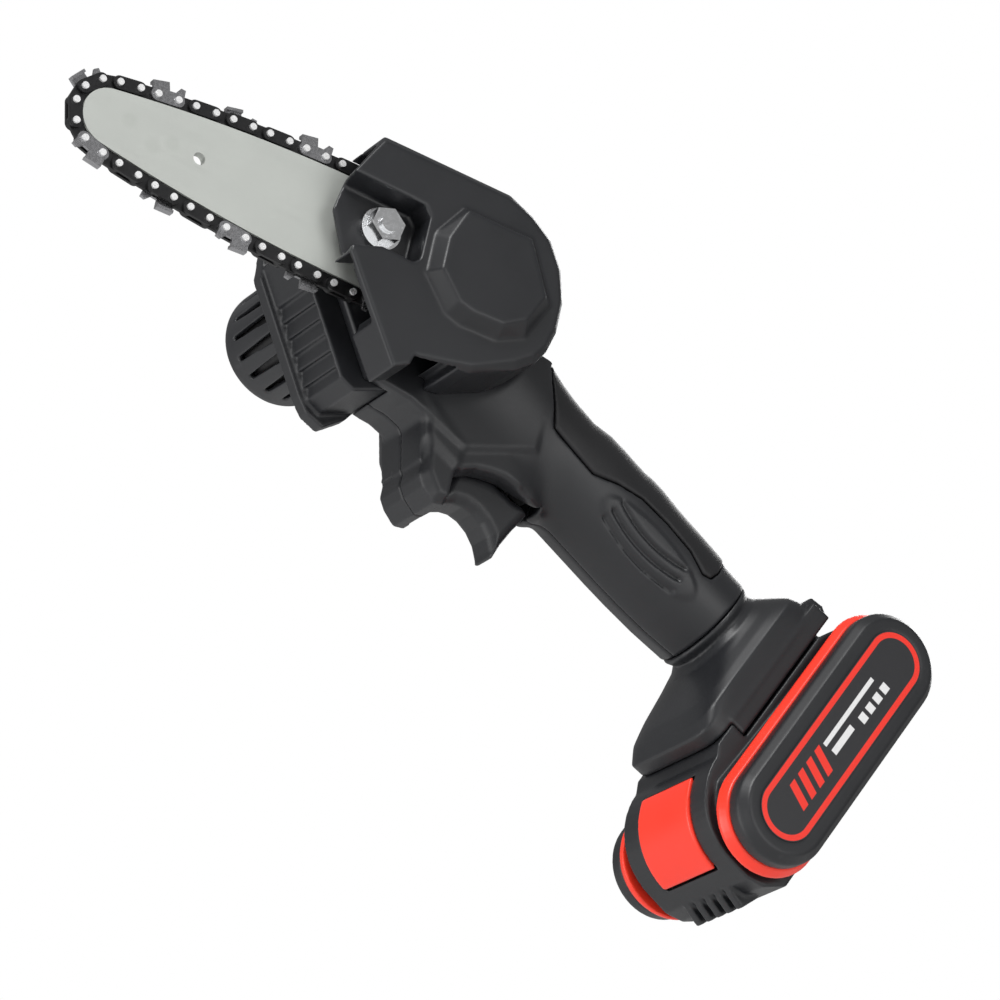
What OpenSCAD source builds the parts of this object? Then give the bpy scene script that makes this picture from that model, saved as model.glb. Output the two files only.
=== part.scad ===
// Cordless one-hand pruning chainsaw.
// Frame: origin at the centre of the box round the saw, bar tip towards -X, chain cover on
// the -Y side, motor on the +Y side, +Z up with the bar level. Millimetres.
// The lists and values below are measured from a point on the bar's middle line instead.

/* [Bar and chain] */
// Distance between neighbouring chain rivets, averaged (quarter-inch chain)
rivet_pitch = 6.35; // [6.3:0.01:6.4]
// Distance between the two rivets of one drive link
link_rivets = 5.91; // [5.7:0.01:6.2]
// Number of drive links in the loop
drive_links = 26; // [26:1:26]
// Place of the drive sprocket, which sets the length of the loop
drive_x = -12.94; // [-12.96:0.01:-12.92]
// Teeth on the drive sprocket
sprocket_teeth = 6; // [6:1:6]
// Height of the rivet line above the bar axis at its widest place
crown_z = 19.9; // [19:0.1:20.5]
// Place of the bar's widest section behind the tip
crown_x = -50; // [-52:1:-48]
// Radius of the bar's long curved edges, at the rivet line
edge_r = 530; // [520:1:540]
// Radius of the chain's path round the bar nose
nose_r = 12.3; // [11.8:0.1:12.8]
// Thickness of the guide bar
bar_t = 3; // [2.8:0.1:3.2]
// Thickness of a drive link
link_t = 1.1; // [1:0.05:1.2]
// Place of the bar stud
stud_x = -48.8; // [-50:0.1:-48]

/* [Body] */
// Mid-plane of the two housing halves
mid_y = 20; // [20:1:20]
// Front face of the gear head, which the chain cover closes against
head_y = 4; // [4:0.1:4.2]
// Rear face of the gear head, which the motor flange closes against
head_back_y = 30; // [29.5:0.1:30]
// Wall of the plastic shells
wall = 2.5; // [2.2:0.1:2.8]
// Tilt of the handle below the bar axis
handle_tilt = 26.74; // [26:0.1:28]
// Half width of the handle
handle_a = 17; // [16:0.1:18]
// Depth of the handle above its centre line
handle_b = 17.4; // [17:0.1:18]
// Depth of the handle below its centre line, at the palm swell
handle_low = 20.2; // [19.5:0.1:20.5]
// Handle's centre line, measured across the handle
handle_w = -10.9; // [-11.5:0.1:-10]

/* [Chain cover] */
// Outer face of the chain cover
cover_y = -18; // [-18.5:0.1:-17.5]
// Outer face of the raised panel over the sprocket
bulge_y = -22.5; // [-23.5:0.1:-21.5]
// Floor of the pocket round the bar nut
pocket_y = -8; // [-8.2:0.1:-7.8]
// Wall of the chain cover
cover_wall = 2.2; // [2:0.1:2.4]

/* [Motor and gears] */
// Motor axis
motor_x = -40.8; // [-41:0.1:-40.6]
motor_z = -9.9; // [-10.1:0.1:-9.7]
// Radius of the motor can
motor_r = 16.5; // [16:0.1:16.5]
// Front face of the motor
motor_y = 23.6; // [23.6:0.1:23.8]
// Rear end of the motor
motor_end_y = 63.5; // [62:0.5:64]
// Module of the first gear pair, at the motor
module_1 = 0.8; // [0.8:0.1:0.8]
// Module of the second gear pair, at the sprocket shaft
module_2 = 1; // [1:0.1:1]
// Teeth on the motor pinion
pinion_teeth = 12; // [12:1:12]
// Teeth on the intermediate gear's large wheel
wheel_teeth = 34; // [34:1:34]
// Teeth on the intermediate gear's small wheel
small_teeth = 14; // [14:1:14]
// Teeth on the output gear
output_teeth = 26; // [26:1:26]

/* [Battery] */
// Tilt of the battery's frame below the bar axis
battery_tilt = 25.2; // [25:0.1:25.4]
// Centre of the side pods, along the battery frame's outward axis
pod_n = 164.9; // [164.8:0.1:165]
// Centre of the side pods, along the battery frame's length
pod_u = -33.2; // [-33.3:0.1:-33.1]
// Half height of a side pod, at its band
pod_r = 18.5; // [18.4:0.1:18.6]
// Half length of a side pod, at its band
pod_half_len = 52.8; // [52.6:0.1:53]
// Half width of the battery over both pods
battery_half_w = 38; // [38:0.5:39]
// Half width of the battery's central body
core_half_w = 26; // [26:0.5:26]

/* [Hidden] */
$fn = 48;
tiny = 0.01;

shell_black = [0.15, 0.155, 0.165];
rubber_black = [0.1, 0.1, 0.105];
steel = [0.62, 0.64, 0.66];
bar_grey = [0.72, 0.74, 0.71];
chain_black = [0.13, 0.13, 0.14];
bright = [0.85, 0.86, 0.87];
band_red = [0.85, 0.17, 0.12];
brass = [0.78, 0.62, 0.3];

// Everything is drawn round a point on the bar's middle line, then the box round it is centred.
frame_shift = [-7, -23.25, 64.4];
module finish(c) { color(c) translate(frame_shift) children(); }

// ---------- general helpers ----------

// Extrudes a flat shape drawn in X and Z from y0 to y1.
module plate(y0, y1) {
    translate([0, y1, 0]) rotate([90, 0, 0]) linear_extrude(y1 - y0) children();
}

// A round bar along Y.
module rod(x, z, r, y0, y1) {
    translate([x, y1, z]) rotate([90, 0, 0]) cylinder(r = r, h = y1 - y0);
}

// Points of an arc, counter-clockwise when a1 > a0.
function arc(cx, cy, r, a0, a1, n) =
    [for (i = [0 : n]) let (a = a0 + (a1 - a0) * i / n) [cx + r * cos(a), cy + r * sin(a)]];

// A flat bar with round ends between two points.
module slot2d(a, b, r) {
    d = b - a;
    translate(a) circle(r);
    translate(b) circle(r);
    translate(a) rotate(atan2(d[1], d[0])) translate([0, -r]) square([norm(d), 2 * r]);
}

// The handle's frame: X runs down the handle, Z across it.
module in_handle() { rotate([0, handle_tilt, 0]) children(); }

// The battery's frame: X points out of the battery's base, Z along its length.
module in_battery() { rotate([0, battery_tilt, 0]) children(); }

// The motor frame, flat: first axis down the louvred face, second out of it.
face_a = atan2(-0.837, 0.547);
module in_motor2d() { translate([motor_x, motor_z]) rotate(face_a) mirror([0, 1]) children(); }

// A coil of wire about Z from the origin up.
module coil(r, wire, height, turns) {
    seg = 12;
    side = 6;
    n = turns * seg;
    pts = [for (i = [0 : n], k = [0 : side - 1])
        let (a = 360 * i / seg, b = 360 * k / side, q = r + wire * cos(b))
        [q * cos(a), q * sin(a), wire + (height - 2 * wire) * i / n + wire * sin(b)]];
    walls = [for (i = [0 : n - 1], k = [0 : side - 1])
        let (m = (k + 1) % side)
        [i * side + k, i * side + m, (i + 1) * side + m, (i + 1) * side + k]];
    ends = [[for (k = [side - 1 : -1 : 0]) k], [for (k = [0 : side - 1]) n * side + k]];
    polyhedron(points = pts, faces = concat(walls, ends), convexity = 6);
}

// ---------- chain path ----------

sprocket_r = rivet_pitch * 2 * sprocket_teeth / (2 * PI);
tail_r = 40;
nose_x = crown_x - sqrt(pow(edge_r - nose_r, 2) - pow(edge_r - crown_z, 2));
nose_a = asin((crown_x - nose_x) / (edge_r - nose_r));
tail_d = norm([crown_x - drive_x, tail_r - crown_z]);
tail_a = atan2(drive_x - crown_x, tail_r - crown_z) - acos((tail_r - sprocket_r) / tail_d);

// Lengths of the half loop's pieces: sprocket, free run, bar tail, bar edge, nose
len_1 = sprocket_r * (90 - tail_a) * PI / 180;
len_2 = len_1 + sqrt(pow(tail_d, 2) - pow(tail_r - sprocket_r, 2));
len_3 = len_2 + tail_r * tail_a * PI / 180;
len_4 = len_3 + edge_r * nose_a * PI / 180;
len_5 = len_4 + nose_r * (90 - nose_a) * PI / 180;

function on_arc(cx, cz, r, a) = [cx + r * cos(a), cz + r * sin(a), a + 90];
function half_path(t) =
    t < len_1 ? on_arc(drive_x, 0, sprocket_r, t / sprocket_r * 180 / PI)
    : t < len_2 ? let (q = t - len_1)
        [drive_x + sprocket_r * sin(tail_a) - q * cos(tail_a), sprocket_r * cos(tail_a) + q * sin(tail_a),
            180 - tail_a]
    : t < len_3 ? on_arc(crown_x, crown_z - tail_r, tail_r, 90 - tail_a + (t - len_2) / tail_r * 180 / PI)
    : t < len_4 ? on_arc(crown_x, crown_z - edge_r, edge_r, 90 + (t - len_3) / edge_r * 180 / PI)
    : on_arc(nose_x, 0, nose_r, 90 + nose_a + (t - len_4) / nose_r * 180 / PI);
function mirrored(p) = [p[0], -p[1], 180 - p[2]];
function chain_path(t) = t <= len_5 ? half_path(t) : mirrored(half_path(2 * len_5 - t));

// Place of rivet k; rivets stand in pairs, one pair on each drive link.
step_len = 2 * len_5 / (2 * drive_links);
function rivet(k) = let (m = (k + 2 * drive_links) % (2 * drive_links), j = floor(m / 2))
    chain_path((j * 2 * step_len + (m % 2) * link_rivets + 2 * len_5 - step_len) % (2 * len_5));

// Puts a flat link between rivets k and k + 1, with its inner side up.
module on_rivets(k) {
    a = rivet(k);
    b = rivet(k + 1);
    translate([(a[0] + b[0]) / 2, (a[1] + b[1]) / 2])
        rotate(atan2(b[1] - a[1], b[0] - a[0])) children();
}
function gap(k) = let (a = rivet(k), b = rivet(k + 1)) norm([b[0] - a[0], b[1] - a[1]]);

// ---------- guide bar and chain ----------

edge_gap = 2.75;
groove_w = 1.3;
rivet_r = 0.95;
rivet_hole_r = 1;
link_r = 2.2;
strap_t = 1;
strap_y = link_t / 2 + 0.05;

// Half outline of the bar, inset from the rivet line, from the tail to the nose.
function bar_half(inset) = concat(
    [[-32, 9.5], [-34, crown_z - inset - 4.2]],
    arc(crown_x, crown_z - tail_r, tail_r - inset, 90 - tail_a, 90, 3),
    arc(crown_x, crown_z - edge_r, edge_r - inset, 90 + nose_a / 12, 90 + nose_a, 11),
    arc(nose_x, 0, nose_r - inset, 90 + nose_a, 180, 12));
module bar_outline(inset) {
    half = bar_half(inset);
    last = len(half) - 1;
    polygon(concat(half, [for (i = [last - 1 : -1 : 0]) [half[i][0], -half[i][1]]]));
}
module bar_holes() {
    slot2d([stud_x - 8, 0], [stud_x + 8, 0], 3.15);
    translate([-108.4, 0]) circle(2);
}
module guide_bar() finish(bar_grey) {
    plate(-bar_t / 2, -groove_w / 2) difference() {
        bar_outline(edge_gap);
        bar_holes();
    }
    plate(-groove_w / 2, groove_w / 2) difference() {
        bar_outline(edge_gap + 4);
        bar_holes();
    }
    plate(groove_w / 2, bar_t / 2) difference() {
        bar_outline(edge_gap);
        bar_holes();
    }
}

module drive_link2d(half) {
    difference() {
        union() {
            slot2d([-half, 0], [half, 0], link_r);
            polygon([[-half - 1.6, 1.2], [half + 1.6, 1.2], [half - 0.6, 4], [0.9, 5.2], [-0.9, 5.2]]);
        }
        for (x = [-half, half]) translate([x, 0]) circle(rivet_hole_r);
    }
}
module chain_drive_links() finish(chain_black)
    for (j = [0 : drive_links - 1])
        plate(-link_t / 2, link_t / 2) on_rivets(2 * j) drive_link2d(gap(2 * j) / 2);

module strap2d(half) {
    difference() {
        slot2d([-half, 0], [half, 0], link_r);
        for (x = [-half, half]) translate([x, 0]) circle(rivet_hole_r);
    }
}

// Tie straps sit between drive links; every fourth place is a left cutter, every fourth a right one.
function is_left(j) = j % 4 == 2;
function is_right(j) = j % 4 == 0;
module chain_tie_straps() finish(chain_black)
    for (j = [0 : drive_links - 1]) {
        k = 2 * j + 1;
        if (!is_left(j)) plate(-strap_y - strap_t, -strap_y) on_rivets(k) strap2d(gap(k) / 2);
        if (!is_right(j)) plate(strap_y, strap_y + strap_t) on_rivets(k) strap2d(gap(k) / 2);
    }

// Cutter: a tie strap with a depth gauge in front and a cutting plate behind it.
cutter_h = 5.1;
module cutter_side2d(half) {
    difference() {
        union() {
            slot2d([-half, 0], [half, 0], link_r);
            polygon([[-half - 1.9, -0.8], [-half - 2.2, -3.9], [-half - 0.6, -4.2], [1.2 - half, -2]]);
            polygon([[2.9 - half, -1.5], [3.4 - half, -cutter_h], [half + 2, -cutter_h + 0.8],
                [half + 1.7, -1]]);
        }
        for (x = [-half, half]) translate([x, 0]) circle(rivet_hole_r);
    }
}
module cutter_top2d(half) {
    polygon([[3.4 - half, -cutter_h], [half + 2, -cutter_h + 0.8], [half + 1.9, -cutter_h + 1.8],
        [3.3 - half, -cutter_h + 1]]);
}
module cutter(j, side) {
    k = 2 * j + 1;
    y0 = side < 0 ? -strap_y - strap_t : strap_y;
    top0 = side < 0 ? -strap_y - strap_t : -0.6;
    top1 = side < 0 ? 0.6 : strap_y + strap_t;
    plate(y0, y0 + strap_t) on_rivets(k) cutter_side2d(gap(k) / 2);
    plate(top0, top1) on_rivets(k) cutter_top2d(gap(k) / 2);
}
module chain_cutters_left() finish(bright)
    for (j = [0 : drive_links - 1]) if (is_left(j)) cutter(j, -1);
module chain_cutters_right() finish(bright)
    for (j = [0 : drive_links - 1]) if (is_right(j)) cutter(j, 1);

rivet_head_r = 1.1;
module chain_rivets() finish(bright)
    for (k = [0 : 2 * drive_links - 1]) {
        p = rivet(k);
        edge = strap_y + strap_t;
        rod(p[0], p[1], rivet_r, -edge - 0.05, edge + 0.05);
        rod(p[0], p[1], rivet_head_r, -edge - 0.75, -edge - 0.03);
        rod(p[0], p[1], rivet_head_r, edge + 0.03, edge + 0.75);
    }

// ---------- drive train ----------

// Centre distances, with a little backlash, and the intermediate axis they give
dist_1 = module_1 * (pinion_teeth + wheel_teeth) / 2;
dist_2 = module_2 * (small_teeth + output_teeth) / 2;
motor_off = motor_x - drive_x;
motor_d = norm([motor_off, motor_z]);
along = (dist_2 * dist_2 - dist_1 * dist_1 + motor_d * motor_d) / (2 * motor_d);
across = sqrt(dist_2 * dist_2 - along * along);
mid_x = drive_x + (motor_off * along + motor_z * across) / motor_d;
mid_z = (motor_z * along - motor_off * across) / motor_d;
// Directions from one axis to the next
angle_om = atan2(mid_z, mid_x - drive_x);
angle_mp = atan2(motor_z - mid_z, motor_x - mid_x);

gear_y0 = 10;
gear_y1 = 15;
wheel_y0 = 16;
wheel_y1 = 19.5;
shaft_r = 4;
pin_r = 2.5;
fit_gap = 0.04;

// Straight-sided gear profile with backlash; a tooth points along angle a.
module gear2d(m, teeth, a) {
    pr = m * teeth / 2;
    pitch_a = 360 / teeth;
    root = pr - 1.2 * m;
    tip = pr + 0.9 * m;
    polygon([for (i = [0 : teeth - 1], q = [[-0.29, root], [-0.09, tip], [0.09, tip], [0.29, root]])
        let (b = a + (i + q[0]) * pitch_a) [q[1] * cos(b), q[1] * sin(b)]]);
}

// The sprocket shaft's axis.
module at_drive() { translate([drive_x, 0, 0]) children(); }
module shaft_flat2d(r, flat) {
    intersection() {
        circle(r);
        translate([-r, -flat]) square([2 * r, 2 * flat]);
    }
}
sprocket_phase = (link_rivets / 2 - step_len) / sprocket_r * 180 / PI;
module drive_sprocket() finish(steel) at_drive()
    plate(-2.2, 2.2) rotate(sprocket_phase) difference() {
        union() {
            circle(6);
            for (i = [0 : sprocket_teeth - 1]) rotate((i + 0.5) * 360 / sprocket_teeth)
                polygon([[5, -2.4], [8.9, -1.45], [9.25, -0.7], [9.25, 0.7], [8.9, 1.45], [5, 2.4]]);
        }
        shaft_flat2d(shaft_r + fit_gap, 3.2 + fit_gap);
    }

module sprocket_washer() finish(steel) at_drive() plate(-3.1, -2.3) difference() {
    circle(7);
    circle(shaft_r + 0.06);
}

module sprocket_circlip() finish(chain_black) at_drive() plate(-4, -3.2) difference() {
    circle(5.8);
    circle(3.35);
    translate([0, -4.5]) square([5, 7], center = true);
}

module output_shaft() finish(steel) at_drive() {
    plate(-5.2, -4.05) circle(shaft_r);
    plate(-4.06, -3.14) circle(3.2);
    plate(-3.15, 2.3) rotate(sprocket_phase) shaft_flat2d(shaft_r, 3.2);
    plate(2.29, 4.1) circle(6);
    plate(4.09, 25.6) circle(shaft_r);
}

module output_gear() finish(steel) at_drive() difference() {
    plate(gear_y0, gear_y1) gear2d(module_2, output_teeth, angle_om + 180 / output_teeth);
    plate(gear_y0 - 1, gear_y1 + 1) circle(shaft_r + 0.02);
}

module bearing(y0, y1) finish(steel) at_drive() plate(y0, y1) difference() {
    circle(8);
    circle(shaft_r + fit_gap);
}
module output_bearing_front() bearing(4.2, 9.2);
module output_bearing_rear() bearing(20.6, 25.6);

module intermediate_gear() finish(steel) translate([mid_x, 0, mid_z]) difference() {
    union() {
        plate(gear_y0, wheel_y0 + tiny) gear2d(module_2, small_teeth, angle_om + 180);
        plate(wheel_y0, wheel_y1) gear2d(module_1, wheel_teeth, angle_mp + 180 / wheel_teeth);
    }
    plate(gear_y0 - 1, wheel_y1 + 1) circle(pin_r + fit_gap);
}

module intermediate_pin() finish(steel) rod(mid_x, mid_z, pin_r, 6.8, 23.4);

module motor_pinion() finish(brass) translate([motor_x, 0, motor_z]) difference() {
    plate(wheel_y0 - 0.2, wheel_y1 + 0.2) gear2d(module_1, pinion_teeth, angle_mp + 180);
    plate(wheel_y0 - 1, wheel_y1 + 1) circle(1.62);
}

module motor_shaft() finish(steel) rod(motor_x, motor_z, 1.6, 14.5, motor_end_y - 0.6);

rotor_y0 = 29;
rotor_y1 = 50;
module rotor_core() finish(steel) translate([motor_x, 0, motor_z]) difference() {
    plate(rotor_y0, rotor_y1) difference() {
        circle(11.2);
        for (i = [0 : 4]) rotate(i * 72) translate([9.5, 0]) square([6, 2.2], center = true);
    }
    plate(rotor_y0 - 1, rotor_y1 + 1) circle(1.62);
}

module commutator() finish(brass) plate(52, 58) translate([motor_x, motor_z]) difference() {
    circle(5);
    circle(1.62);
    for (i = [0 : 4]) rotate(i * 72 + 36) translate([5, 0]) square([1.4, 0.5], center = true);
}

module motor_can() finish(steel) difference() {
    union() {
        rod(motor_x, motor_z, motor_r, motor_y, 59.5);
        rod(motor_x, motor_z, 6.4, 21, motor_y + tiny);
    }
    rod(motor_x, motor_z, motor_r - 1, motor_y + 1.5, 60);
    rod(motor_x, motor_z, 1.66, 20, 30);
    for (i = [0, 180]) translate([motor_x, 0, motor_z]) rotate([0, 25 + i, 0]) rod(10, 0, 1.3, 20, 26);
}

module motor_magnets() finish(chain_black) plate(27.5, 52) translate([motor_x, motor_z])
    for (i = [0, 180]) rotate(i) intersection() {
        difference() {
            circle(motor_r - 1.05);
            circle(12);
        }
        polygon([[0, 0], [22, -18], [22, 18]]);
    }

module motor_end_bell() finish(shell_black) difference() {
    union() {
        rod(motor_x, motor_z, motor_r, 59.6, motor_end_y);
        rod(motor_x, motor_z, motor_r - 1.1, 58.6, 59.7);
    }
    rod(motor_x, motor_z, 1.66, 58, motor_end_y + 1);
    rod(motor_x, motor_z, 6, 58, 60);
}

module motor_screws() finish(bright) for (i = [0, 180])
    translate([motor_x, 0, motor_z]) rotate([0, 25 + i, 0]) {
        rod(10, 0, 1.25, 20.9, 25);
        rod(10, 0, 2.4, 19.7, 20.95);
    }

// Steel plate that carries the motor, the intermediate pin and the rear bearing.
module gear_plate() finish(steel) difference() {
    union() {
        plate(21, 23.5) union() {
            translate([motor_x, motor_z]) circle(14);
            translate([drive_x, 0]) circle(12);
            polygon([[-46, 3.2], [-34, 13], [-13, 12], [-10, -11.6], [-38, -23.5]]);
        }
        rod(drive_x, 0, 10.5, 23.4, 25.6);
    }
    rod(drive_x, 0, 8.04, 20, 26);
    rod(mid_x, mid_z, pin_r + 0.01, 20, 26);
    rod(motor_x, motor_z, 6.45, 20, 26);
    for (i = [0, 180]) translate([motor_x, 0, motor_z]) rotate([0, 25 + i, 0]) rod(10, 0, 1.4, 20, 26);
}

// ---------- bar mounting ----------

module bar_plate() finish(steel) plate(bar_t / 2 + 0.02, head_y - 0.02) difference() {
    union() {
        translate([-62, -10]) square([32, 20]);
        slot2d([-60, -8.5], [-32, -8.5], 2);
        slot2d([-60, 8.5], [-32, 8.5], 2);
    }
    translate([stud_x, 0]) circle(3.1);
}

module bar_stud() finish(bright) {
    rod(stud_x, 0, 3, pocket_y - 6.9, 8);
    plate(6.6, 9.4) translate([stud_x, 0]) circle(5.6, $fn = 6);
}

module bar_nut() finish(bright) difference() {
    union() {
        rod(stud_x, 0, 6.8, pocket_y - 1.3, pocket_y - 0.02);
        plate(pocket_y - 5.8, pocket_y - 1.2) translate([stud_x, 0]) rotate(20) circle(5.8, $fn = 6);
    }
    rod(stud_x, 0, 3.02, pocket_y - 7, pocket_y + 1);
}

// ---------- chain cover ----------

// Outline of the cover at its face and, a little larger, at its open side.
function cover_face() = [[-57.8, 23.6], [-13, 24.2], [-4, 21], [3.2, 16.2], [8.2, 8.4], [11, -1],
    [10.8, -11],
    [8.8, -18], [5.8, -22.8], [0, -27.6], [-14, -35.6], [-36, -41], [-60, -17], [-68, 0.3], [-65.5, 8.8]];
function cover_base() = [[-57.4, 26.2], [-12, 26.6], [-2.6, 22.8], [4.9, 17.8], [10.2, 9.4], [13, -1],
    [12.8, -11.5],
    [10.8, -19], [7.6, -24.6], [1.6, -29.8], [-13, -37], [-36, -40.5], [-56, -13], [-62, 0.3], [-60, 12]];
// The skirt that hangs down in front.
skirt = [[-61, -16], [-39.4, -47.2], [-34, -44], [-30, -30], [-50, -5]];
bulge_outer = [[-27, 14], [-2.5, 14.4], [8, -5], [1.5, -19], [-8, -24], [-21, -24.5], [-26, -23],
    [-35.5, -12.5], [-35.3, 1]];
bulge_inner = [[-27.5, 11], [-5, 11.3], [3.5, -5], [-1, -15.5], [-8.5, -20.3], [-19, -20.8],
    [-24.5, -19.5], [-32, -11.5], [-31.8, -0.4]];

module cover_solid() {
    hull() {
        plate(head_y - 0.5, head_y - 0.05) polygon(cover_base());
        plate(cover_y + 2, cover_y + 2.1) polygon(cover_base());
        plate(cover_y, cover_y + 0.1) polygon(cover_face());
    }
    hull() {
        plate(cover_y, cover_y + 0.1) polygon(bulge_outer);
        plate(bulge_y, bulge_y + 0.1) polygon(bulge_inner);
    }
    plate(cover_y, -3) polygon(skirt);
}
module cover_cavity() {
    inner = [[-53, 23.2], [-12.4, 23.7], [3.2, 15.8], [10.4, 0], [10.2, -11], [8.2, -17.8], [-1, -27.8],
        [-16, -33], [-35, -36.5], [-48, -23], [-57, -19], [-75, -14], [-75, 23.2]];
    hull() {
        plate(cover_y + 4.5, head_y + 1) polygon(inner);
        plate(cover_y + cover_wall, cover_y + cover_wall + 0.1) scale(0.93) polygon(inner);
    }
    plate(bulge_y + cover_wall, cover_y + cover_wall + 1) scale(0.9) polygon(bulge_inner);
    // room for the cutters above and below the bar
    plate(-3.2, head_y + 1) polygon([[-75, 25.5], [-24, 25.5], [-8, 20], [-8, -20], [-36, -26.4],
        [-75, -26.4]]);
}
pocket = [[-75, 9.8], [-40, 9], [-37.6, 6], [-38, -9], [-40, -11], [-51, -10.6], [-57, -13], [-75, -20]];
module chain_cover() finish(shell_black) difference() {
    union() {
        difference() {
            cover_solid();
            cover_cavity();
            translate([0, -2.2, 0]) plate(-40, pocket_y + 2.2) polygon(pocket);
            translate([-75, -30, -60]) cube([8.5, 40, 120]);
            plate(-16.5, 5) polygon([[-36, -42], [-18, -42], [-18, -34], [-36, -34]]);
            // the skirt is open behind its face, where the chain comes out
            plate(cover_y + 3, 5) {
                polygon([[-75, 0], [-75, -34], [-54, -34], [-46, -27], [-40, -12]]);
                translate([-52, -31]) circle(5.5);
            }
        }
        intersection() {
            cover_solid();
            plate(cover_y, pocket_y + 2) polygon([[-68, 11.5], [-39, 11], [-35.8, 7], [-36.3, -10],
                [-39, -13.2], [-52, -12.8], [-60, -16], [-68, 0]]);
        }
        rod(stud_x, 0, 7.5, pocket_y + 0.5, -bar_t / 2 - 0.05);
    }
    plate(-40, pocket_y) polygon(pocket);
    rod(stud_x, 0, 3.15, -20, 5);
    difference() {
        plate(-7.5, 5) polygon([[-75, 25], [-55, 25], [-55, -28], [-75, -28]]);
        plate(-7.6, -5.5) polygon([[-76, 25], [-54, 25], [-54, -29], [-76, -29]]);
    }
}

// ---------- motor housing ----------

block_n = 20.4;
flange_n = 22;
module scoop2d() {
    in_motor2d() polygon([[-21, -3], [31, -3], [33, 4], [31, block_n - 3], [26, block_n],
        [-17, block_n], [-21, 12]]);
}
module flange2d(grow = 1) {
    in_motor2d() scale(grow) polygon([[-23.4, 0], [-23.4, 17.2], [-14.6, flange_n], [24, flange_n],
        [30, 21.3],
        [35.4, 17.5], [34.3, 8.2], [29, -3], [14, -17], [0, -20.5], [-14, -17]]);
}
// The louvres are closed: each is a step that slopes up to the next ridge.
louvres = 6;
louvre_pitch = 5.2;
louvre_deep = 1.4;
louvre_first = -3.6;
scoop_y = 8;
scoop_wall = 1.8;
flange_y = 35;
module motor_housing() finish(shell_black) difference() {
    union() {
        plate(scoop_y, head_back_y + 0.3) scoop2d();
        plate(head_back_y + 0.2, flange_y) flange2d();
    }
    plate(scoop_y + scoop_wall, head_back_y - 1) in_motor2d()
        polygon([[-19, -4], [29, -4], [31, 4], [29, 14.5], [25, block_n - 3.2], [-16, block_n - 3.2],
            [-19, 11]]);
    rod(motor_x, motor_z, motor_r + 0.1, scoop_y + scoop_wall, flange_y + 1);
    rod(stud_x, 0, 6.5, scoop_y - 1, 12);
    for (i = [0 : louvres - 1])
        plate(9.2, head_back_y - 0.6) in_motor2d() translate([louvre_first + i * louvre_pitch, block_n])
            polygon([[0, 1], [0, -louvre_deep], [louvre_pitch - 0.3, 0.05], [louvre_pitch - 0.3, 1]]);
}

cap_r = 19.2;
cap_y0 = 35.1;
cap_y1 = 64;
cap_round = 5;
cap_slots = 18;
module cap_profile() {
    h = cap_y1 - cap_y0;
    polygon(concat([[0, 0], [cap_r, 0]], arc(cap_r - cap_round, h, cap_round, 0, 90, 6), [[0,
        h + cap_round]]));
}
module motor_cap() finish(shell_black) translate([motor_x, cap_y0, motor_z]) rotate([-90, 0, 0])
    difference() {
    rotate_extrude($fn = 96) cap_profile();
    translate([0, 0, -1]) cylinder(r = motor_r + 0.7, h = motor_end_y - cap_y0 + 1.6);
    for (i = [0 : cap_slots - 1]) rotate(i * 360 / cap_slots) translate([cap_r - 3, 0, 0])
        rotate([90, 0, 90]) linear_extrude(6) polygon([[-1.6, 0.6], [1.6, 0.6], [0.7, 25], [-0.7, 25]]);
    for (i = [0 : 11]) rotate(i * 30) translate([7, -1, cap_y1 - cap_y0]) cube([6, 2, 8]);
}

// ---------- housing ----------

head = [[-56, 26], [-10, 26.5], [6.5, 19.5], [17, 5], [18.5, -8], [24, -9], [24, -40], [0, -50], [-21, -42],
    [-29, -41], [-36.4, -40.4], [-57.2, -8.6], [-60, 0], [-59, 14]];
// The slab between head and handle: outline at its side faces and in its middle.
lower_side = [[-24, -30], [-21.5, -36.5], [-14, -50], [-1, -55], [1.5, -56.2], [6, -53.8],
    [11, -52.6], [21, -53],
    [30, -42], [31, -26], [22, -12]];
lower_mid = [[-24, -30], [-21.5, -36.5], [-14, -57], [0, -58], [1.5, -56.8], [6, -54.4], [11, -53.2],
    [22, -54],
    [35, -54.8], [42, -54.2], [40, -30], [24, -10]];
module lower_block(grow) {
    hull() {
        plate(head_y + 0.5 - grow, 35.5 + grow) translate([grow, grow]) polygon(lower_side);
        plate(head_y + 4.5 - grow, 31.5 + grow) translate([grow, grow]) polygon(lower_mid);
    }
}
// A length of the handle, in the handle's frame: an oval drawn as a fine polygon.
oval_steps = 48;
module handle_length(inset, s0, s1, low) {
    translate([s0, mid_y, handle_w]) rotate([0, 90, 0]) linear_extrude(s1 - s0)
        polygon([for (i = [0 : oval_steps - 1]) let (t = 360 * i / oval_steps)
            [((cos(t) > 0 ? low : handle_b) - inset) * cos(t), (handle_a - inset) * sin(t)]]);
}
module handle_loft(inset, s0, s1) { in_handle() handle_length(inset, s0, s1, handle_low); }
// The palm swell runs out towards the battery.
module swell_region() {
    in_handle() plate(-5, 45) polygon([[10, 30], [10, -40], [93, -31.2], [119, -28.3], [119, 30]]);
}
handle_s0 = 26;
handle_s1 = 119;
// The rubber grip's outline on the side of the handle.
grip_end = 109;
grip_side = [[26, 20], [26, 1], [39, -15], [58, -15.6], [66, -11.4], [75, -8.2], [86, -7.4], [97, -8],
    [105, -10.8], [108, -9.6], [grip_end, -5], [grip_end, 20]];
module grip_region(y0, y1) { in_handle() plate(y0, y1) polygon(grip_side); }
grip_depth = 2;
grip_rise = 0.9;

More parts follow.
